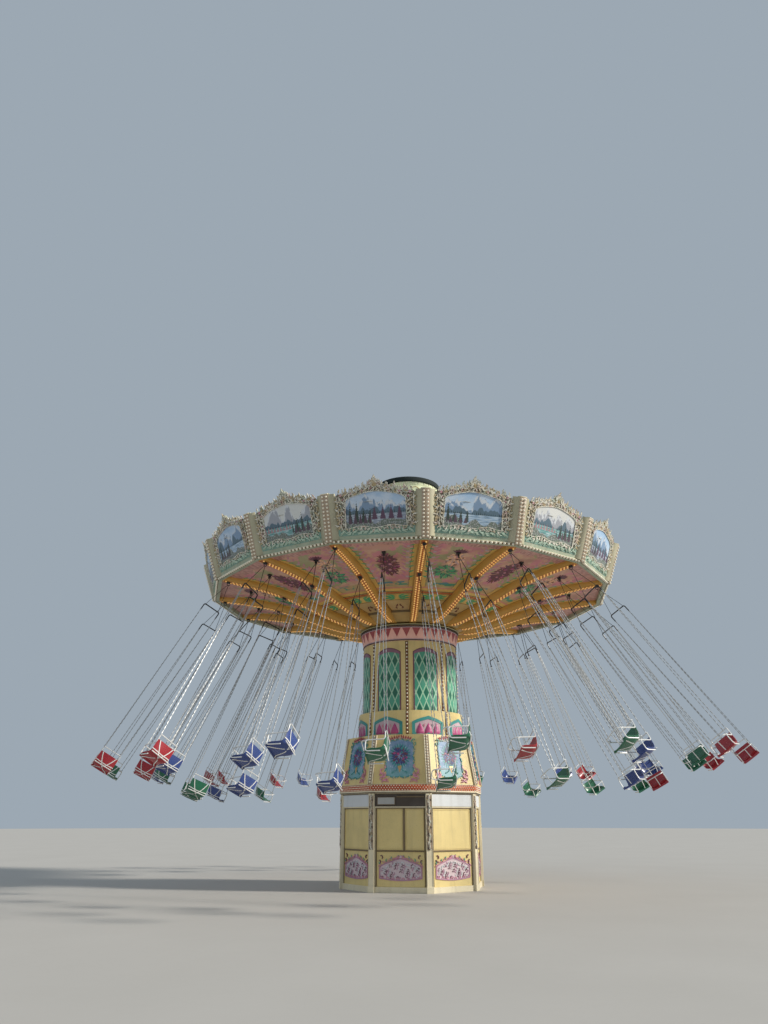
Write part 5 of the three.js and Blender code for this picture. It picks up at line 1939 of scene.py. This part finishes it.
class SWINGRIDE_OT_frame_paint(bpy.types.Operator):
    """Paints the pieces whose own shape shows."""

    bl_idname = "swing_ride.frame_paint"
    bl_label = "Frame paint"

    def execute(self, context):
        return build_all(paint_frame)


class SWINGRIDE_OT_base(bpy.types.Operator):
    """Adds the base's rails, bands, cartouches and carved posts."""

    bl_idname = "swing_ride.base"
    bl_label = "Base woodwork"

    def execute(self, context):
        return build_all(build_base_woodwork, build_post_carvings)


class SWINGRIDE_OT_cornice(bpy.types.Operator):
    """Adds the cornice's lamp strip."""

    bl_idname = "swing_ride.cornice"
    bl_label = "Cornice lamps"

    def execute(self, context):
        return build_all(build_cornice)


class SWINGRIDE_OT_skirt(bpy.types.Operator):
    """Adds the skirt's flower fields and lamp strips."""

    bl_idname = "swing_ride.skirt"
    bl_label = "Skirt"

    def execute(self, context):
        return build_all(build_skirt_paintings, build_skirt_strips)


class SWINGRIDE_OT_drums(bpy.types.Operator):
    """Adds the two round drums and the collar."""

    bl_idname = "swing_ride.drums"
    bl_label = "Drums and collar"

    def execute(self, context):
        return build_all(build_lower_drum, build_upper_drum, build_collar)


class SWINGRIDE_OT_sweeps(bpy.types.Operator):
    """Adds the sixteen sweeps with their lamps."""

    bl_idname = "swing_ride.sweeps"
    bl_label = "Sweeps"

    def execute(self, context):
        return build_all(build_sweeps)


class SWINGRIDE_OT_ceiling(bpy.types.Operator):
    """Adds the painted ceiling and the apron over the collar."""

    bl_idname = "swing_ride.ceiling"
    bl_label = "Ceiling"

    def execute(self, context):
        return build_all(build_ceiling, build_apron)


class SWINGRIDE_OT_swings(bpy.types.Operator):
    """Adds the forty-eight chairs and their chains."""

    bl_idname = "swing_ride.swings"
    bl_label = "Swings"

    def execute(self, context):
        return build_all(build_swings)


class SWINGRIDE_OT_boards(bpy.types.Operator):
    """Adds the rounding boards' pictures, carving, strips and lamps."""

    bl_idname = "swing_ride.boards"
    bl_label = "Rounding boards"

    def execute(self, context):
        return build_all(build_rounding_boards, build_board_strips)


class SWINGRIDE_OT_roof(bpy.types.Operator):
    """Adds the canvas roof and the cupola."""

    bl_idname = "swing_ride.roof"
    bl_label = "Roof and cupola"

    def execute(self, context):
        return build_all(build_roof_cover, build_roof_trim, build_cupola)


OPERATORS = (
    SWINGRIDE_OT_stage, SWINGRIDE_OT_frame_paint, SWINGRIDE_OT_base, SWINGRIDE_OT_cornice, SWINGRIDE_OT_skirt,
    SWINGRIDE_OT_drums, SWINGRIDE_OT_sweeps, SWINGRIDE_OT_ceiling, SWINGRIDE_OT_swings, SWINGRIDE_OT_boards,
    SWINGRIDE_OT_roof,
)


class SWINGRIDE_PT_panel(bpy.types.Panel):
    """The ride's sizes, colours and pieces in the sidebar."""

    bl_idname = "SWINGRIDE_PT_panel"
    bl_label = "Chair swing ride"
    bl_space_type = "VIEW_3D"
    bl_region_type = "UI"
    bl_category = "Swing Ride"

    def draw(self, context):
        for group in (sizes(), colours()):
            column = self.layout.column()
            for name in group.__annotations__:
                column.prop(group, name)
        for operator in OPERATORS:
            self.layout.operator(operator.bl_idname)


CLASSES = (SwingRideSizes, SwingRideColours, *OPERATORS, SWINGRIDE_PT_panel)


def register():
    for cls in CLASSES:
        bpy.utils.register_class(cls)
    bpy.types.Scene.swing_ride_sizes = bpy.props.PointerProperty(type=SwingRideSizes)
    bpy.types.Scene.swing_ride_colours = bpy.props.PointerProperty(type=SwingRideColours)


def unregister():
    del bpy.types.Scene.swing_ride_colours
    del bpy.types.Scene.swing_ride_sizes
    for cls in reversed(CLASSES):
        bpy.utils.unregister_class(cls)


def main():
    """Runs the operators in order."""
    register()
    for operator in OPERATORS:
        name = operator.bl_idname.split(".")[1]
        getattr(bpy.ops.swing_ride, name)()


if __name__ == "__main__":
    main()
